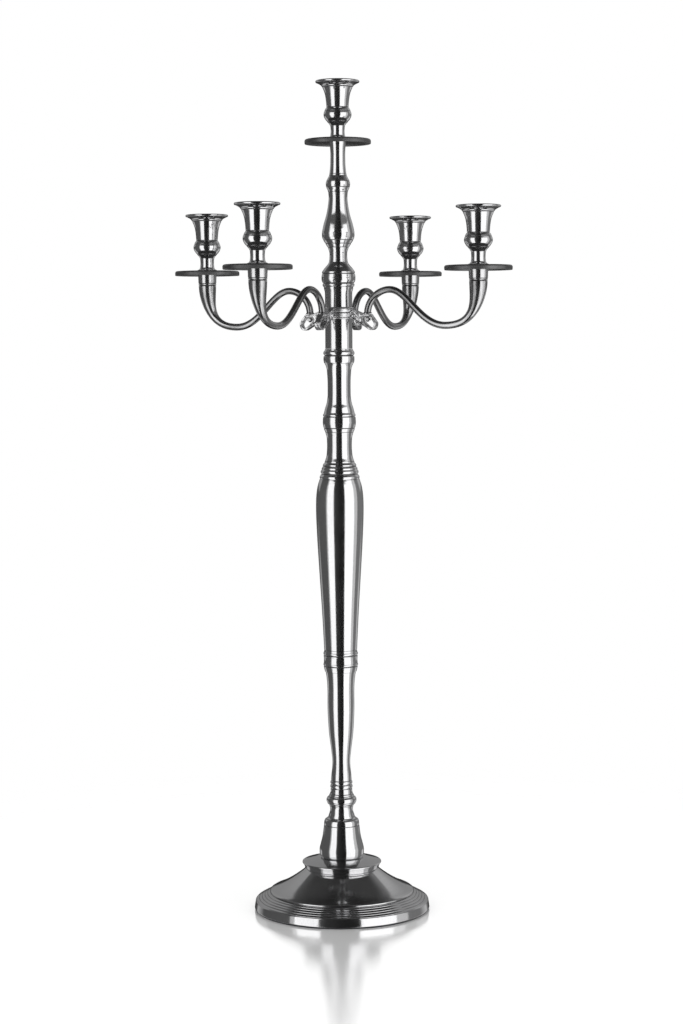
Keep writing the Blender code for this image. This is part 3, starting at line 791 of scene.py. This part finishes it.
def felt_cloth():
    """Pressed black felt."""
    material = bpy.data.materials.new("pressed_felt")
    material.use_nodes = True
    n = Nodes(material.node_tree)
    place = n.add("ShaderNodeTexCoord").outputs["Object"]
    fibre = n.noise(n.stretched(place, (1.0, 1.0, 2.0)), 1400.0, 4.0, 0.7)
    tuft = n.noise(place, 160.0, 3.0)
    colour = n.blend(n.span(fibre, 0.3, 0.75), (0.012, 0.012, 0.014, 1), (0.05, 0.05, 0.055, 1))
    height = n.math("ADD", fibre, tuft)
    bump = n.add("ShaderNodeBump", None, Height=height, Strength=0.8, Distance=0.0004)
    shader = n.add(
        "ShaderNodeBsdfPrincipled", None, Base_Color=colour, Roughness=0.95,
        Sheen_Weight=0.4, Sheen_Roughness=0.5, Normal=bump.outputs["Normal"],
    )
    n.add("ShaderNodeOutputMaterial", None, Surface=shader.outputs[0])
    return material


# ---------------------------------------------------------------- base

def base(finish, felt, steel):
    section = list(BASE_FOOT)
    radius = section[-1][2]
    for _ in range(MOULDING_COUNT):
        for shape, (rise, step) in ((BULGE, MOULDING_ROUND), (CONE, MOULDING_TREAD)):
            section.append((shape, MOULDING_RISE * rise, radius - MOULDING_STEP * step))
        radius -= MOULDING_STEP
        section.append((GROOVE, MOULDING_RISE * MOULDING_GROOVE, radius))
    section += BASE_RIM
    outside = outline(section, sag=SLOPE_SAG)
    top = outside[-1][1]
    slope_foot = top - BASE_RIM[-1][1]
    slope_radius = BASE_RIM[-2][2]
    shoulder = (slope_radius - BASE_WALL, slope_foot - BASE_WALL)
    ceiling = (BASE_RIM[-1][2] - BASE_WALL, top - BASE_WEB)
    wall = BASE_RADIUS - BASE_WALL
    inside = [(wall, 0.0), (wall, slope_foot / 2 - BASE_WALL), shoulder]
    for i in range(1, CURVE_RUNS + 1):
        inside.append(stretch(DISH, shoulder, ceiling, i / CURVE_RUNS, SLOPE_SAG))
    inside.append((ROD_BORE, top - BASE_WEB))
    # the inside of the hollow base is painted darker: painted shade
    inside = [(*point, INSIDE_SHADE) for point in inside] + [(ROD_BORE, top, 0.0)]
    shell = turned("base_foot", outside + inside[::-1] + outside[:1], BASE_FACETS)
    piece("turned_base", shell, "base_foot", finish)

    plate = turned("base_plate", with_bore(outline(BASE_PLATE), ROD_BORE), BASE_FACETS)
    piece("turned_plate", plate, "base_plate", finish)

    low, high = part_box("felt_ring")
    side = high.x
    ring = outline((side, (CONE, high.z - low.z, side)))
    pad = turned("felt_pad", with_bore(ring, side - FELT_WIDTH), BASE_FACETS)
    piece("felt_pad", pad, "felt_ring", felt)

    low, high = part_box("rod_washer")
    washer = (high.x, (CONE, high.z - low.z, high.x))
    mesh = turned("rod_washer", with_bore(outline(washer), ROD_BORE), SMALL_FACETS)
    piece("steel_washer", mesh, "rod_washer", steel)

    low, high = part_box("rod_nut")
    piece("steel_rod_nut", nut("rod_nut", ROD_NUT_FLATS, high.z - low.z, ROD_BORE), "rod_nut", steel)
    low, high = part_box("tie_rod")
    rod = threaded(ROD_RADIUS, ROD_PITCH, ROD_THREAD, high.z - low.z)
    piece("steel_tie_rod", turned("tie_rod", rod, THREAD_FACETS), "tie_rod", steel)


def threaded(radius, pitch, thread, length):
    """Outline of a rod on its axis, with rounded ridges for a length from its foot, and painted shade in
    the roots between them.
    """
    root = radius * (1 - THREAD_DEPTH)
    points = [(0.0, 0.0, 0.0), (root * 0.92, 0.0, 0.0), (root, pitch * 0.3, 0.0)]
    count = int((thread - pitch) / pitch)
    for i in range(count):
        z = pitch * (0.5 + i)
        # the root of each thread is painted darker: painted shade
        points.append((root, z, 0.6))
        points += [(radius, z + pitch * part, 0.0) for part in FLANK]
    points.append((root, pitch * (0.5 + count), 0.6))
    if length - thread > pitch:
        points.append((radius, thread, 0.0))
        points.append((radius, length - pitch * 0.5, 0.0))
    points += [(root, length, 0.0), (0.0, length, 0.0)]
    return points


def nut(name, flats, height, bore):
    """A hexagonal nut, chamfered at its corners and its hole. Flagged points go out to the hexagon."""
    c = NUT_CHAMFER
    rows = (
        (bore, c, 0), (bore + c, 0, 0), (flats / 2 * NUT_CORNER, 0, 0), (flats / 2, c * 0.6, 1),
        (flats / 2, height - c * 0.6, 1), (flats / 2 * NUT_CORNER, height, 0),
        (bore + c, height, 0), (bore, height - c, 0), (bore, c, 0),
    )
    shape = bmesh.new()
    hexed = shape.verts.layers.float.new("hexed")
    row = []
    for radius, z, flag in rows:
        vert = shape.verts.new((radius, 0, z))
        vert[hexed] = flag
        row.append(vert)
    spin(shape, row, THREAD_FACETS)
    sixth = math.tau / 6
    for vert in shape.verts:
        if vert[hexed]:
            turn = math.atan2(vert.co.y, vert.co.x) % sixth - sixth / 2
            vert.co.xy *= 1 / math.cos(turn)
    return mesh_of(shape, name, 25)


# ---------------------------------------------------------------- column

def column(finish):
    for node, section in COLUMN.items():
        outside = outline(section)
        piece(f"turned_{node}", turned(node, with_bore(outside, ROD_BORE), COLUMN_FACETS), node, finish)


# ---------------------------------------------------------------- hub

def arc(centre, radius, first_deg, last_deg, count):
    """Points on an arc in the (x, z) plane."""
    step = (last_deg - first_deg) / (count - 1)
    angles = [math.radians(first_deg + i * step) for i in range(count)]
    return [(centre[0] + radius * math.cos(a), centre[1] + radius * math.sin(a)) for a in angles]


def plate(name, corners, thickness):
    """A plate with (x, z) corners, centred on y = 0."""
    shape = bmesh.new()
    face = shape.faces.new([shape.verts.new((x, -thickness / 2, z)) for x, z in corners])
    grown = bmesh.ops.extrude_face_region(shape, geom=[face])
    moved = [v for v in grown["geom"] if isinstance(v, bmesh.types.BMVert)]
    bmesh.ops.translate(shape, verts=moved, vec=(0, thickness, 0))
    return mesh_of(shape, name)


def temporary(name, mesh):
    item = bpy.data.objects.new(name, mesh)
    bpy.context.scene.collection.objects.link(item)
    return item


def spaced(corners, step):
    """Evenly spaced points round a closed outline, each with the direction out of it."""
    area = sum(a[0] * b[1] - b[0] * a[1] for a, b in zip(corners, corners[1:] + corners[:1]))
    side = 1 if area > 0 else -1
    result = []
    for start, end in zip(corners, corners[1:] + corners[:1]):
        length = math.dist(start, end)
        count = max(1, round(length / step))
        outward = (side * (end[1] - start[1]) / length, -side * (end[0] - start[0]) / length)
        for i in range(count):
            t = i / count
            result.append((between(start[0], end[0], t), between(start[1], end[1], t), *outward))
    return result


def beaded(mesh, routes):
    """The mesh with round beads laid along both its faces, as balls that the casting melts together."""
    shape = bmesh.new()
    shape.from_mesh(mesh)
    for corners, inset in routes:
        for x, z, out_x, out_z in spaced(corners, LUG_BEAD * LUG_BEAD_SPACING):
            if x < LUG_BEAD_FROM:
                continue
            for side in (-1, 1):
                place = (x - out_x * inset, side * (LUG_THICKNESS / 2 - LUG_BEAD), z - out_z * inset)
                bmesh.ops.create_icosphere(
                    shape, subdivisions=2, radius=LUG_BEAD, matrix=Matrix.Translation(place),
                )
    joined = bpy.data.meshes.new("beaded_lug")
    shape.to_mesh(joined)
    shape.free()
    return joined


def as_cast(mesh):
    """Sand-cast lumps, with painted shade in the hollows between them."""
    painted_shade = mesh.attributes.new("recess_shade", "FLOAT", "POINT")
    normals = [vert.normal.copy() for vert in mesh.vertices]
    for vert, normal, entry in zip(mesh.vertices, normals, painted_shade.data):
        lump = noise.noise(vert.co * LUG_COARSE) + 0.5 * noise.noise(vert.co * LUG_FINE)
        # painted shade, deeper the deeper the hollow
        entry.value = min(1.0, max(0.0, -lump * LUG_HOLLOW_SHADE))
        vert.co += normal * (lump * LUG_LUMP - LUG_LUMP)
    return mesh


def finished(item):
    """The mesh of a temporary object with its modifiers applied."""
    bpy.context.view_layer.update()
    return bpy.data.meshes.new_from_object(item.evaluated_get(bpy.context.evaluated_depsgraph_get()))


def lug_mesh(foot):
    """One drooping lug along +X from the hub, with the window that its nut is reached through."""
    eye = (foot + LUG_EYE_OUT, LUG_SEAT - LUG_EYE_DROP)
    half = LUG_WINDOW_HALF
    ceiling, sill = LUG_SEAT - LUG_WINDOW_CEILING, LUG_SEAT - LUG_WINDOW_SILL
    window = [
        (foot - half, sill), (foot - half, ceiling), (foot + half, ceiling),
        *arc(eye, LUG_EYE_RADIUS, *LUG_WINDOW_ARC_DEG, LUG_ARC_POINTS),
    ]
    body = [
        (LUG_ROOT_REACH, LUG_ROOT_MARGIN),
        (LUG_ROOT_REACH, HUB_HEIGHT - LUG_ROOT_MARGIN),
        (LUG_SHOULDER_REACH, HUB_HEIGHT - LUG_ROOT_MARGIN),
        (foot - half, LUG_SEAT), (foot + half, LUG_SEAT),
        *arc(eye, LUG_EYE_RADIUS + LUG_WALL, *LUG_OUTER_ARC_DEG, LUG_ARC_POINTS),
        (LUG_SHOULDER_REACH, LUG_ROOT_MARGIN),
    ]
    lug = temporary("lug", plate("lug", body, LUG_THICKNESS - 2 * LUG_BEAD_PROUD))
    cutter = temporary("lug_window", plate("lug_window", window, 2 * LUG_THICKNESS))
    hole = bmesh.new()
    bmesh.ops.create_cone(
        hole, cap_ends=True, segments=THREAD_FACETS, radius1=TAIL_HOLE, radius2=TAIL_HOLE,
        depth=HUB_HEIGHT, matrix=Matrix.Translation((foot, 0, LUG_SEAT)),
    )
    drill = temporary("lug_hole", mesh_of(hole, "lug_hole"))
    for tool in (cutter, drill):
        modifier = lug.modifiers.new(tool.name, "BOOLEAN")
        modifier.operation = "DIFFERENCE"
        modifier.object = tool
    cut = finished(lug)
    casting = temporary("casting", beaded(cut, ((body, LUG_BEAD), (window, -LUG_BEAD))))
    remesh = casting.modifiers.new("cast", "REMESH")
    remesh.mode = "VOXEL"
    remesh.voxel_size = LUG_VOXEL
    smooth = casting.modifiers.new("fettled", "SMOOTH")
    smooth.factor = 0.5
    smooth.iterations = LUG_SMOOTHING
    made = as_cast(finished(casting))
    for item in (lug, cutter, drill, casting):
        bpy.data.objects.remove(item)
    made.shade_smooth()
    return made


def hub(cast, ring_finish):
    """The ring and its lugs, which stand in for one node together."""
    low_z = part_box("upper_sleeve")[0].z - ARM_GAP - HUB_HEIGHT
    ring_place = Matrix.Translation((0, 0, low_z))
    ring = turned("hub_ring", with_bore(outline(HUB_RING), ROD_BORE), COLUMN_FACETS)
    piece("turned_hub_ring", ring, "hub_ring", ring_finish, ring_place)
    foot = Vector(AXIS_OF["arm_1_swivel"])
    lug = lug_mesh(math.hypot(foot.x, foot.y))
    for number in range(1, 5):
        turn = Matrix.Rotation(arm_turn(number), 4, "Z")
        piece(f"cast_lug_{number}", lug.copy(), "hub_ring", cast, ring_place @ turn)


# ---------------------------------------------------------------- arms

def arm_turn(number):
    x, y, _ = AXIS_OF[f"arm_{number}_swivel"]
    return math.atan2(y, x)


def arm_route(reach):
    """(x, z, radius) stations along an arm from its foot, which is at (0, 0) on the lug's seat."""
    foot, crest = (0, ARM_GAP), (CREST_OUT, CREST_RISE)
    trough, mouth = (reach - TROUGH_BACK, -TROUGH_DROP), (reach, MOUTH_RISE)
    spans = (
        (foot, (0, ARM_GAP + ROUND_FOOT), (crest[0] - ROUND_CREST_IN, crest[1]), crest),
        (crest, (crest[0] + ROUND_CREST_OUT, crest[1]), (trough[0] - ROUND_TROUGH_IN, trough[1]), trough),
        (trough, (trough[0] + ROUND_TROUGH_OUT, trough[1]), (reach, mouth[1] - ROUND_MOUTH), mouth),
    )
    radii = (ARM_RADIUS, ARM_CREST_RADIUS, ARM_RADIUS, ARM_MOUTH_RADIUS)
    route = []
    for span, r0, r1, count in zip(spans, radii, radii[1:], ARM_STATIONS):
        points = interpolate_bezier(*[(x, 0, z) for x, z in span], count + 1)
        for i, point in enumerate(points[bool(route):], start=bool(route)):
            t = (i / count) ** (2 if r1 == ARM_MOUTH_RADIUS else 1)
            route.append((point.x, point.z, between(r0, r1, t * t * (3 - 2 * t))))
    return route


def arm_stations(reach):
    """(x, z, radius, heading) for the whole casting, from the end of its tail to its spigot."""
    up = math.pi / 2
    root = TAIL_RADIUS * (1 - THREAD_DEPTH)
    stations = [(0, -TAIL_LENGTH, root * 0.8, up), (0, -TAIL_LENGTH + TAIL_POINT, root, up)]
    for i in range(int((TAIL_LENGTH - 2 * TAIL_PLAIN) / TAIL_PITCH)):
        z = -TAIL_LENGTH + TAIL_PLAIN + TAIL_PITCH * i
        stations.append((0, z, root, up))
        stations += [(0, z + TAIL_PITCH * part, TAIL_RADIUS, up) for part in FLANK]
    stations += [(0, -TAIL_NECK, root, up), (0, ARM_GAP, root, up)]
    stations += [(0, z, radius, up) for radius, z in ARM_COLLAR]
    route = arm_route(reach)
    for before, here, after in zip(route, route[1:], route[2:] + route[-1:]):
        if here[1] > ARM_BAR_FROM or here[0] > ARM_RADIUS:
            heading = math.atan2(after[1] - before[1], after[0] - before[0])
            stations.append((*here, heading))
    x, z, radius = route[-1]
    stations[-1] = (x, z - MOUTH_EDGE, radius, up)
    spigot = radius - SPIGOT_STEP
    stations += [(x, z, radius - MOUTH_EDGE, up), (x, z + 0.0001, spigot, up)]
    return stations + [(x, z + FERRULE_SKIRT, spigot, up)]


def swept(name, stations, sides):
    """A round bar through (x, z, radius, heading) stations, closed at both ends.

    across and over hold where a point is on the bar's section, for lines that run along it.
    """
    shape = bmesh.new()
    layers = shape.verts.layers.float
    for layer in ("across", "over"):
        layers.new(layer)
    across, over = layers["across"], layers["over"]
    x, z, radius, heading = stations[0]
    start = Matrix.Translation((x, 0, z)) @ Matrix.Rotation(math.pi / 2 - heading, 4, "Y")
    made = bmesh.ops.create_circle(shape, cap_ends=False, segments=sides, radius=radius, matrix=start)
    verts = made["verts"]
    for vert in verts:
        offset = (vert.co - Vector((x, 0, z))) / radius
        vert[across], vert[over] = offset.y, offset.x
    bmesh.ops.contextual_create(shape, geom=list({e for v in verts for e in v.link_edges}))
    ring = list({edge for vert in verts for edge in vert.link_edges})
    for station in stations[1:]:
        grown = bmesh.ops.extrude_edge_only(shape, edges=ring)["geom"]
        verts = [g for g in grown if isinstance(g, bmesh.types.BMVert)]
        edges = [g for g in grown if isinstance(g, bmesh.types.BMEdge)]
        ring = [edge for edge in edges if all(vert in verts for vert in edge.verts)]
        centre = Vector((x, 0, z))
        scale = station[2] / radius
        bmesh.ops.scale(shape, verts=verts, vec=(scale,) * 3, space=Matrix.Translation(-centre))
        turn = Matrix.Rotation(heading - station[3], 3, "Y")
        bmesh.ops.rotate(shape, verts=verts, cent=centre, matrix=turn)
        bmesh.ops.translate(shape, verts=verts, vec=(station[0] - x, 0, station[1] - z))
        x, z, radius, heading = station
    bmesh.ops.contextual_create(shape, geom=ring)
    return mesh_of(shape, name, 50)


def arms(cast, ferrule_finish, steel):
    foot = Vector(AXIS_OF["arm_1_swivel"])
    mouth = seat_of("ferrule_1")
    reach = math.hypot(mouth.x, mouth.y) - math.hypot(foot.x, foot.y)
    bar = swept("arm", arm_stations(reach), ARM_SIDES)
    ferrule_bore = ARM_MOUTH_RADIUS - SPIGOT_STEP + ARM_GAP
    cap = outline(FERRULE)
    top = cap[-1][1]
    inside = [
        (STUD_BORE, top, 0.0), (STUD_BORE, FERRULE_SKIRT, 0.0),
        (ferrule_bore, FERRULE_SKIRT, 0.0), (ferrule_bore, 0.0, 0.0),
    ]
    ferrule = turned("ferrule", cap + inside + cap[:1], SMALL_FACETS)
    low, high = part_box("arm_nut_1")
    hexagon = nut("arm_nut", ARM_NUT_FLATS, high.z - low.z, ARM_NUT_BORE)
    for number in range(1, 5):
        turn = Matrix.Rotation(arm_turn(number), 4, "Z")
        foot = Matrix.Translation(AXIS_OF[f"arm_{number}_swivel"])
        piece(f"cast_arm_{number}", bar.copy(), f"arm_{number}", cast, foot @ turn)
        piece(f"turned_ferrule_{number}", ferrule.copy(), f"ferrule_{number}", ferrule_finish)
        place = Matrix.Translation(seat_of(f"arm_nut_{number}")) @ turn
        piece(f"steel_arm_nut_{number}", hexagon.copy(), f"arm_nut_{number}", steel, place)


# ---------------------------------------------------------------- pans, studs and cups

def pan_outline():
    """A thin pan: flat where it is clamped, gently domed, with a deep edge rolled downwards."""
    crown = PAN_THICKNESS - PAN_DOME
    roll = arc((PAN_RADIUS - PAN_ROLL, crown - PAN_ROLL), PAN_ROLL, 0, PAN_ROLL_DEG, PAN_ROLL_POINTS)
    skirt = PAN_RADIUS - PAN_LIP
    points = [(STUD_BORE, 0.0), (PAN_SEAT_RADIUS, 0.0)]
    points += [(skirt - PAN_ROLL, -PAN_SKIRT * 0.12), (skirt - PAN_ROLL * 0.35, -PAN_SKIRT * 0.40)]
    points += [(skirt, -PAN_SKIRT * 0.92), (skirt + 0.0003, -PAN_SKIRT)]
    points += [(PAN_RADIUS - 0.0005, -PAN_SKIRT), (PAN_RADIUS - 0.0001, -PAN_SKIRT * 0.8)]
    points += roll
    edge_radius, edge_height = roll[-1]
    for i in range(PAN_RUNS - 1, 0, -1):
        t = i / PAN_RUNS
        rise = PAN_THICKNESS - (PAN_THICKNESS - edge_height) * t ** 1.5
        points.append((between(PAN_SEAT_RADIUS, edge_radius, t), rise))
    points += [(PAN_SEAT_RADIUS - 0.001, PAN_THICKNESS), (STUD_BORE, PAN_THICKNESS), (STUD_BORE, 0.0)]
    return [(r, z, 0.0) for r, z in points]


def cup_outline():
    """Up the outside of the candle cup, then down its funnel and socket."""
    outside = outline(CUP)
    top = outside[-1][1]
    mouth = outside[-1][0] - CUP_LIP
    inside = outline((CANDLE_RADIUS, (COVE, CUP_FUNNEL, mouth)), z=top - CUP_FUNNEL)
    floor = top - CUP_FUNNEL - CUP_SOCKET
    foot = [(0.0, STUD_IN_CUP, 0.0), (STUD_BORE, STUD_IN_CUP, 0.0), (STUD_BORE, 0.0, 0.0)]
    # the bottom of the socket is painted darker: painted shade
    socket = [(CANDLE_RADIUS, floor, SOCKET_SHADE), (0.0, floor, SOCKET_SHADE)]
    return foot + outside + inside[::-1] + socket


def pans_and_cups(pan_finish, cup_finish, steel):
    pan = turned("drip_pan", pan_outline(), SMALL_FACETS)
    cup = turned("candle_cup", cup_outline(), SMALL_FACETS)
    low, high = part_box("cup_stud_5")
    length = high.z - low.z
    stud = turned("cup_stud", threaded(STUD_RADIUS, STUD_PITCH, length, length), THREAD_FACETS)
    for number in range(1, 6):
        seat = seat_of(f"candle_cup_{number}")
        seat.z = seat_of(f"drip_pan_{number}").z + PAN_DROOP
        place = Matrix.Translation(seat)
        piece(f"spun_pan_{number}", pan.copy(), f"drip_pan_{number}", pan_finish, place)
        piece(f"steel_stud_{number}", stud.copy(), f"cup_stud_{number}", steel)
        piece(f"turned_cup_{number}", cup.copy(), f"candle_cup_{number}", cup_finish)


# ---------------------------------------------------------------- studio

def softbox(name, azimuth_deg, width, radiance):
    """A tall panel light at an azimuth seen from the object; 0 is the camera's side, 90 is +X."""
    data = bpy.data.lights.new(name, "AREA")
    data.shape = "RECTANGLE"
    height = SOFTBOX_TOP - SOFTBOX_FOOT
    data.size = width
    data.size_y = height
    data.energy = radiance * width * height * math.pi
    item = bpy.data.objects.new(name, data)
    bpy.context.scene.collection.objects.link(item)
    turn = math.radians(azimuth_deg)
    place = Vector((math.sin(turn), -math.cos(turn), 0)) * SOFTBOX_DISTANCE
    place.z = (SOFTBOX_TOP + SOFTBOX_FOOT) / 2
    item.location = place
    item.rotation_euler = (math.pi / 2, 0, turn)
    item.visible_camera = False


def seen_in_metal(n):
    """1 for a ray from the object's metal, 0 for the camera, plain surfaces and the floor's gloss."""
    path = n.add("ShaderNodeLightPath").outputs
    return n.math("MULTIPLY", path["Is Glossy Ray"], n.math("SUBTRACT", 1.0, path["Is Singular Ray"]))


def floor():
    """A pale glossy floor that fades into the background, and isn't seen in the metal or from below."""
    shape = bmesh.new()
    bmesh.ops.create_circle(shape, cap_ends=True, segments=128, radius=FLOOR_SOLID + FLOOR_FADE)
    mesh = bpy.data.meshes.new("floor")
    shape.to_mesh(mesh)
    shape.free()
    item = bpy.data.objects.new("floor", mesh)
    bpy.context.scene.collection.objects.link(item)
    material = bpy.data.materials.new("pale_floor")
    material.use_nodes = True
    n = Nodes(material.node_tree)
    place = n.add("ShaderNodeTexCoord").outputs["Object"]
    away = n.length(place)
    ripple = n.noise(place, 1500.0, 1.0)
    bump = n.add("ShaderNodeBump", None, Height=ripple, Strength=0.10, Distance=0.0004)
    chalk = n.add("ShaderNodeBsdfDiffuse", None, Color=(FLOOR_CHALK, FLOOR_CHALK, FLOOR_CHALK, 1))
    mirror = n.add(
        "ShaderNodeBsdfGlossy", None, Color=(1, 1, 1, 1), Roughness=0.0, Normal=bump.outputs["Normal"],
    )
    gloss = n.span(away, *FLOOR_GLOSS_REACH, *FLOOR_GLOSS)
    surface = n.add("ShaderNodeMixShader", None, i0=gloss, i1=chalk.outputs[0], i2=mirror.outputs[0])
    clear = n.add("ShaderNodeBsdfTransparent")
    gone = n.math("MAXIMUM", n.span(away, FLOOR_SOLID, FLOOR_SOLID + FLOOR_FADE), seen_in_metal(n))
    gone = n.math("MAXIMUM", gone, n.add("ShaderNodeNewGeometry").outputs["Backfacing"])
    faded = n.add("ShaderNodeMixShader", None, i0=gone, i1=surface.outputs[0], i2=clear.outputs[0])
    n.add("ShaderNodeOutputMaterial", None, Surface=faded.outputs[0])
    mesh.materials.append(material)


def studio():
    """A white room whose reflections in metal are a dark studio with a grey rear wall."""
    world = bpy.data.worlds.new("studio")
    world.use_nodes = True
    bpy.context.scene.world = world
    n = Nodes(world.node_tree)

    def past(angle, low_deg, high_deg, to_low=0.0, to_high=1.0):
        return n.span(angle, math.radians(low_deg), math.radians(high_deg), to_low, to_high)

    heading = n.add("ShaderNodeTexCoord").outputs["Generated"]
    parts = n.add("ShaderNodeSeparateXYZ", None, Vector=heading).outputs
    x, y, z = parts[0], parts[1], parts[2]
    azimuth = n.math("ABSOLUTE", n.math("ARCTAN2", x, n.math("MULTIPLY", y, -1.0)))
    right = n.span(x, -0.15, 0.15)
    side_walls = n.span(right, 0.0, 1.0, LEFT_WALL, RIGHT_WALL, False)
    walls = n.math("MULTIPLY", past(azimuth, 20, 32), side_walls)
    walls = n.math("MULTIPLY", walls, past(azimuth, 148, 166, 1.0, 0.15))
    steepness = n.math("DIVIDE", z, n.math("MAXIMUM", y, 0.05))
    band = n.math("MULTIPLY", n.span(z, 0.04, 0.10), n.span(steepness, 0.86, 0.98, 1.0, 0.0))
    backdrop = n.math("MULTIPLY", n.math("MULTIPLY", past(azimuth, 118, 126), band), BACKDROP)
    strip = n.math("MULTIPLY", past(azimuth, 124, 130), n.span(z, -0.18, -0.10, 1.0, 0.0))
    strip = n.math("MULTIPLY", strip, past(azimuth, 146, 152, LOW_STRIP, 0.0))
    walls = n.math("ADD", walls, strip)
    ceiling = n.span(z, 0.6, 0.8, 1.0, 0.2)
    level = n.math("MULTIPLY", n.math("ADD", walls, backdrop), ceiling)
    gap = n.span(x, -0.42, 0.10, GAP_LEFT, GAP_RIGHT)
    level = n.math("ADD", level, gap)
    dark = n.add("ShaderNodeBackground", None, Color=level)
    white = n.add("ShaderNodeBackground", None, Color=(1, 1, 1, 1))
    both = n.add(
        "ShaderNodeMixShader", None, i0=seen_in_metal(n), i1=white.outputs[0], i2=dark.outputs[0],
    )
    n.add("ShaderNodeOutputWorld", None, Surface=both.outputs[0])
    for settings in SOFTBOXES:
        softbox(*settings)


camera()
polished = metal("polished_metal", 0.80, 0.10, turning=0.25)
base_finish = metal("polished_base_metal", 0.78, 0.09, turning=0.25)
arm_finish = metal("drawn_polished_metal", 0.66, 0.15, waviness=0.9, pits=0.1, drawn=0.75)
ferrule_finish = metal("brushed_metal", 0.70, 0.16, turning=0.4, waviness=0.9)
lug_finish = metal("cast_metal", 0.80, 0.14, waviness=1.6, pits=0.3)
ring_finish = metal("cast_ring_metal", 0.88, 0.30, waviness=2.0)
pan_finish = metal("dull_spun_metal", 0.19, 0.44, turning=0.5)
steel = metal("zinc_steel", 0.60, 0.32, pits=0.2)
base(base_finish, felt_cloth(), steel)
column(polished)
hub(lug_finish, ring_finish)
arms(arm_finish, ferrule_finish, steel)
pans_and_cups(pan_finish, polished, steel)
floor()
studio()
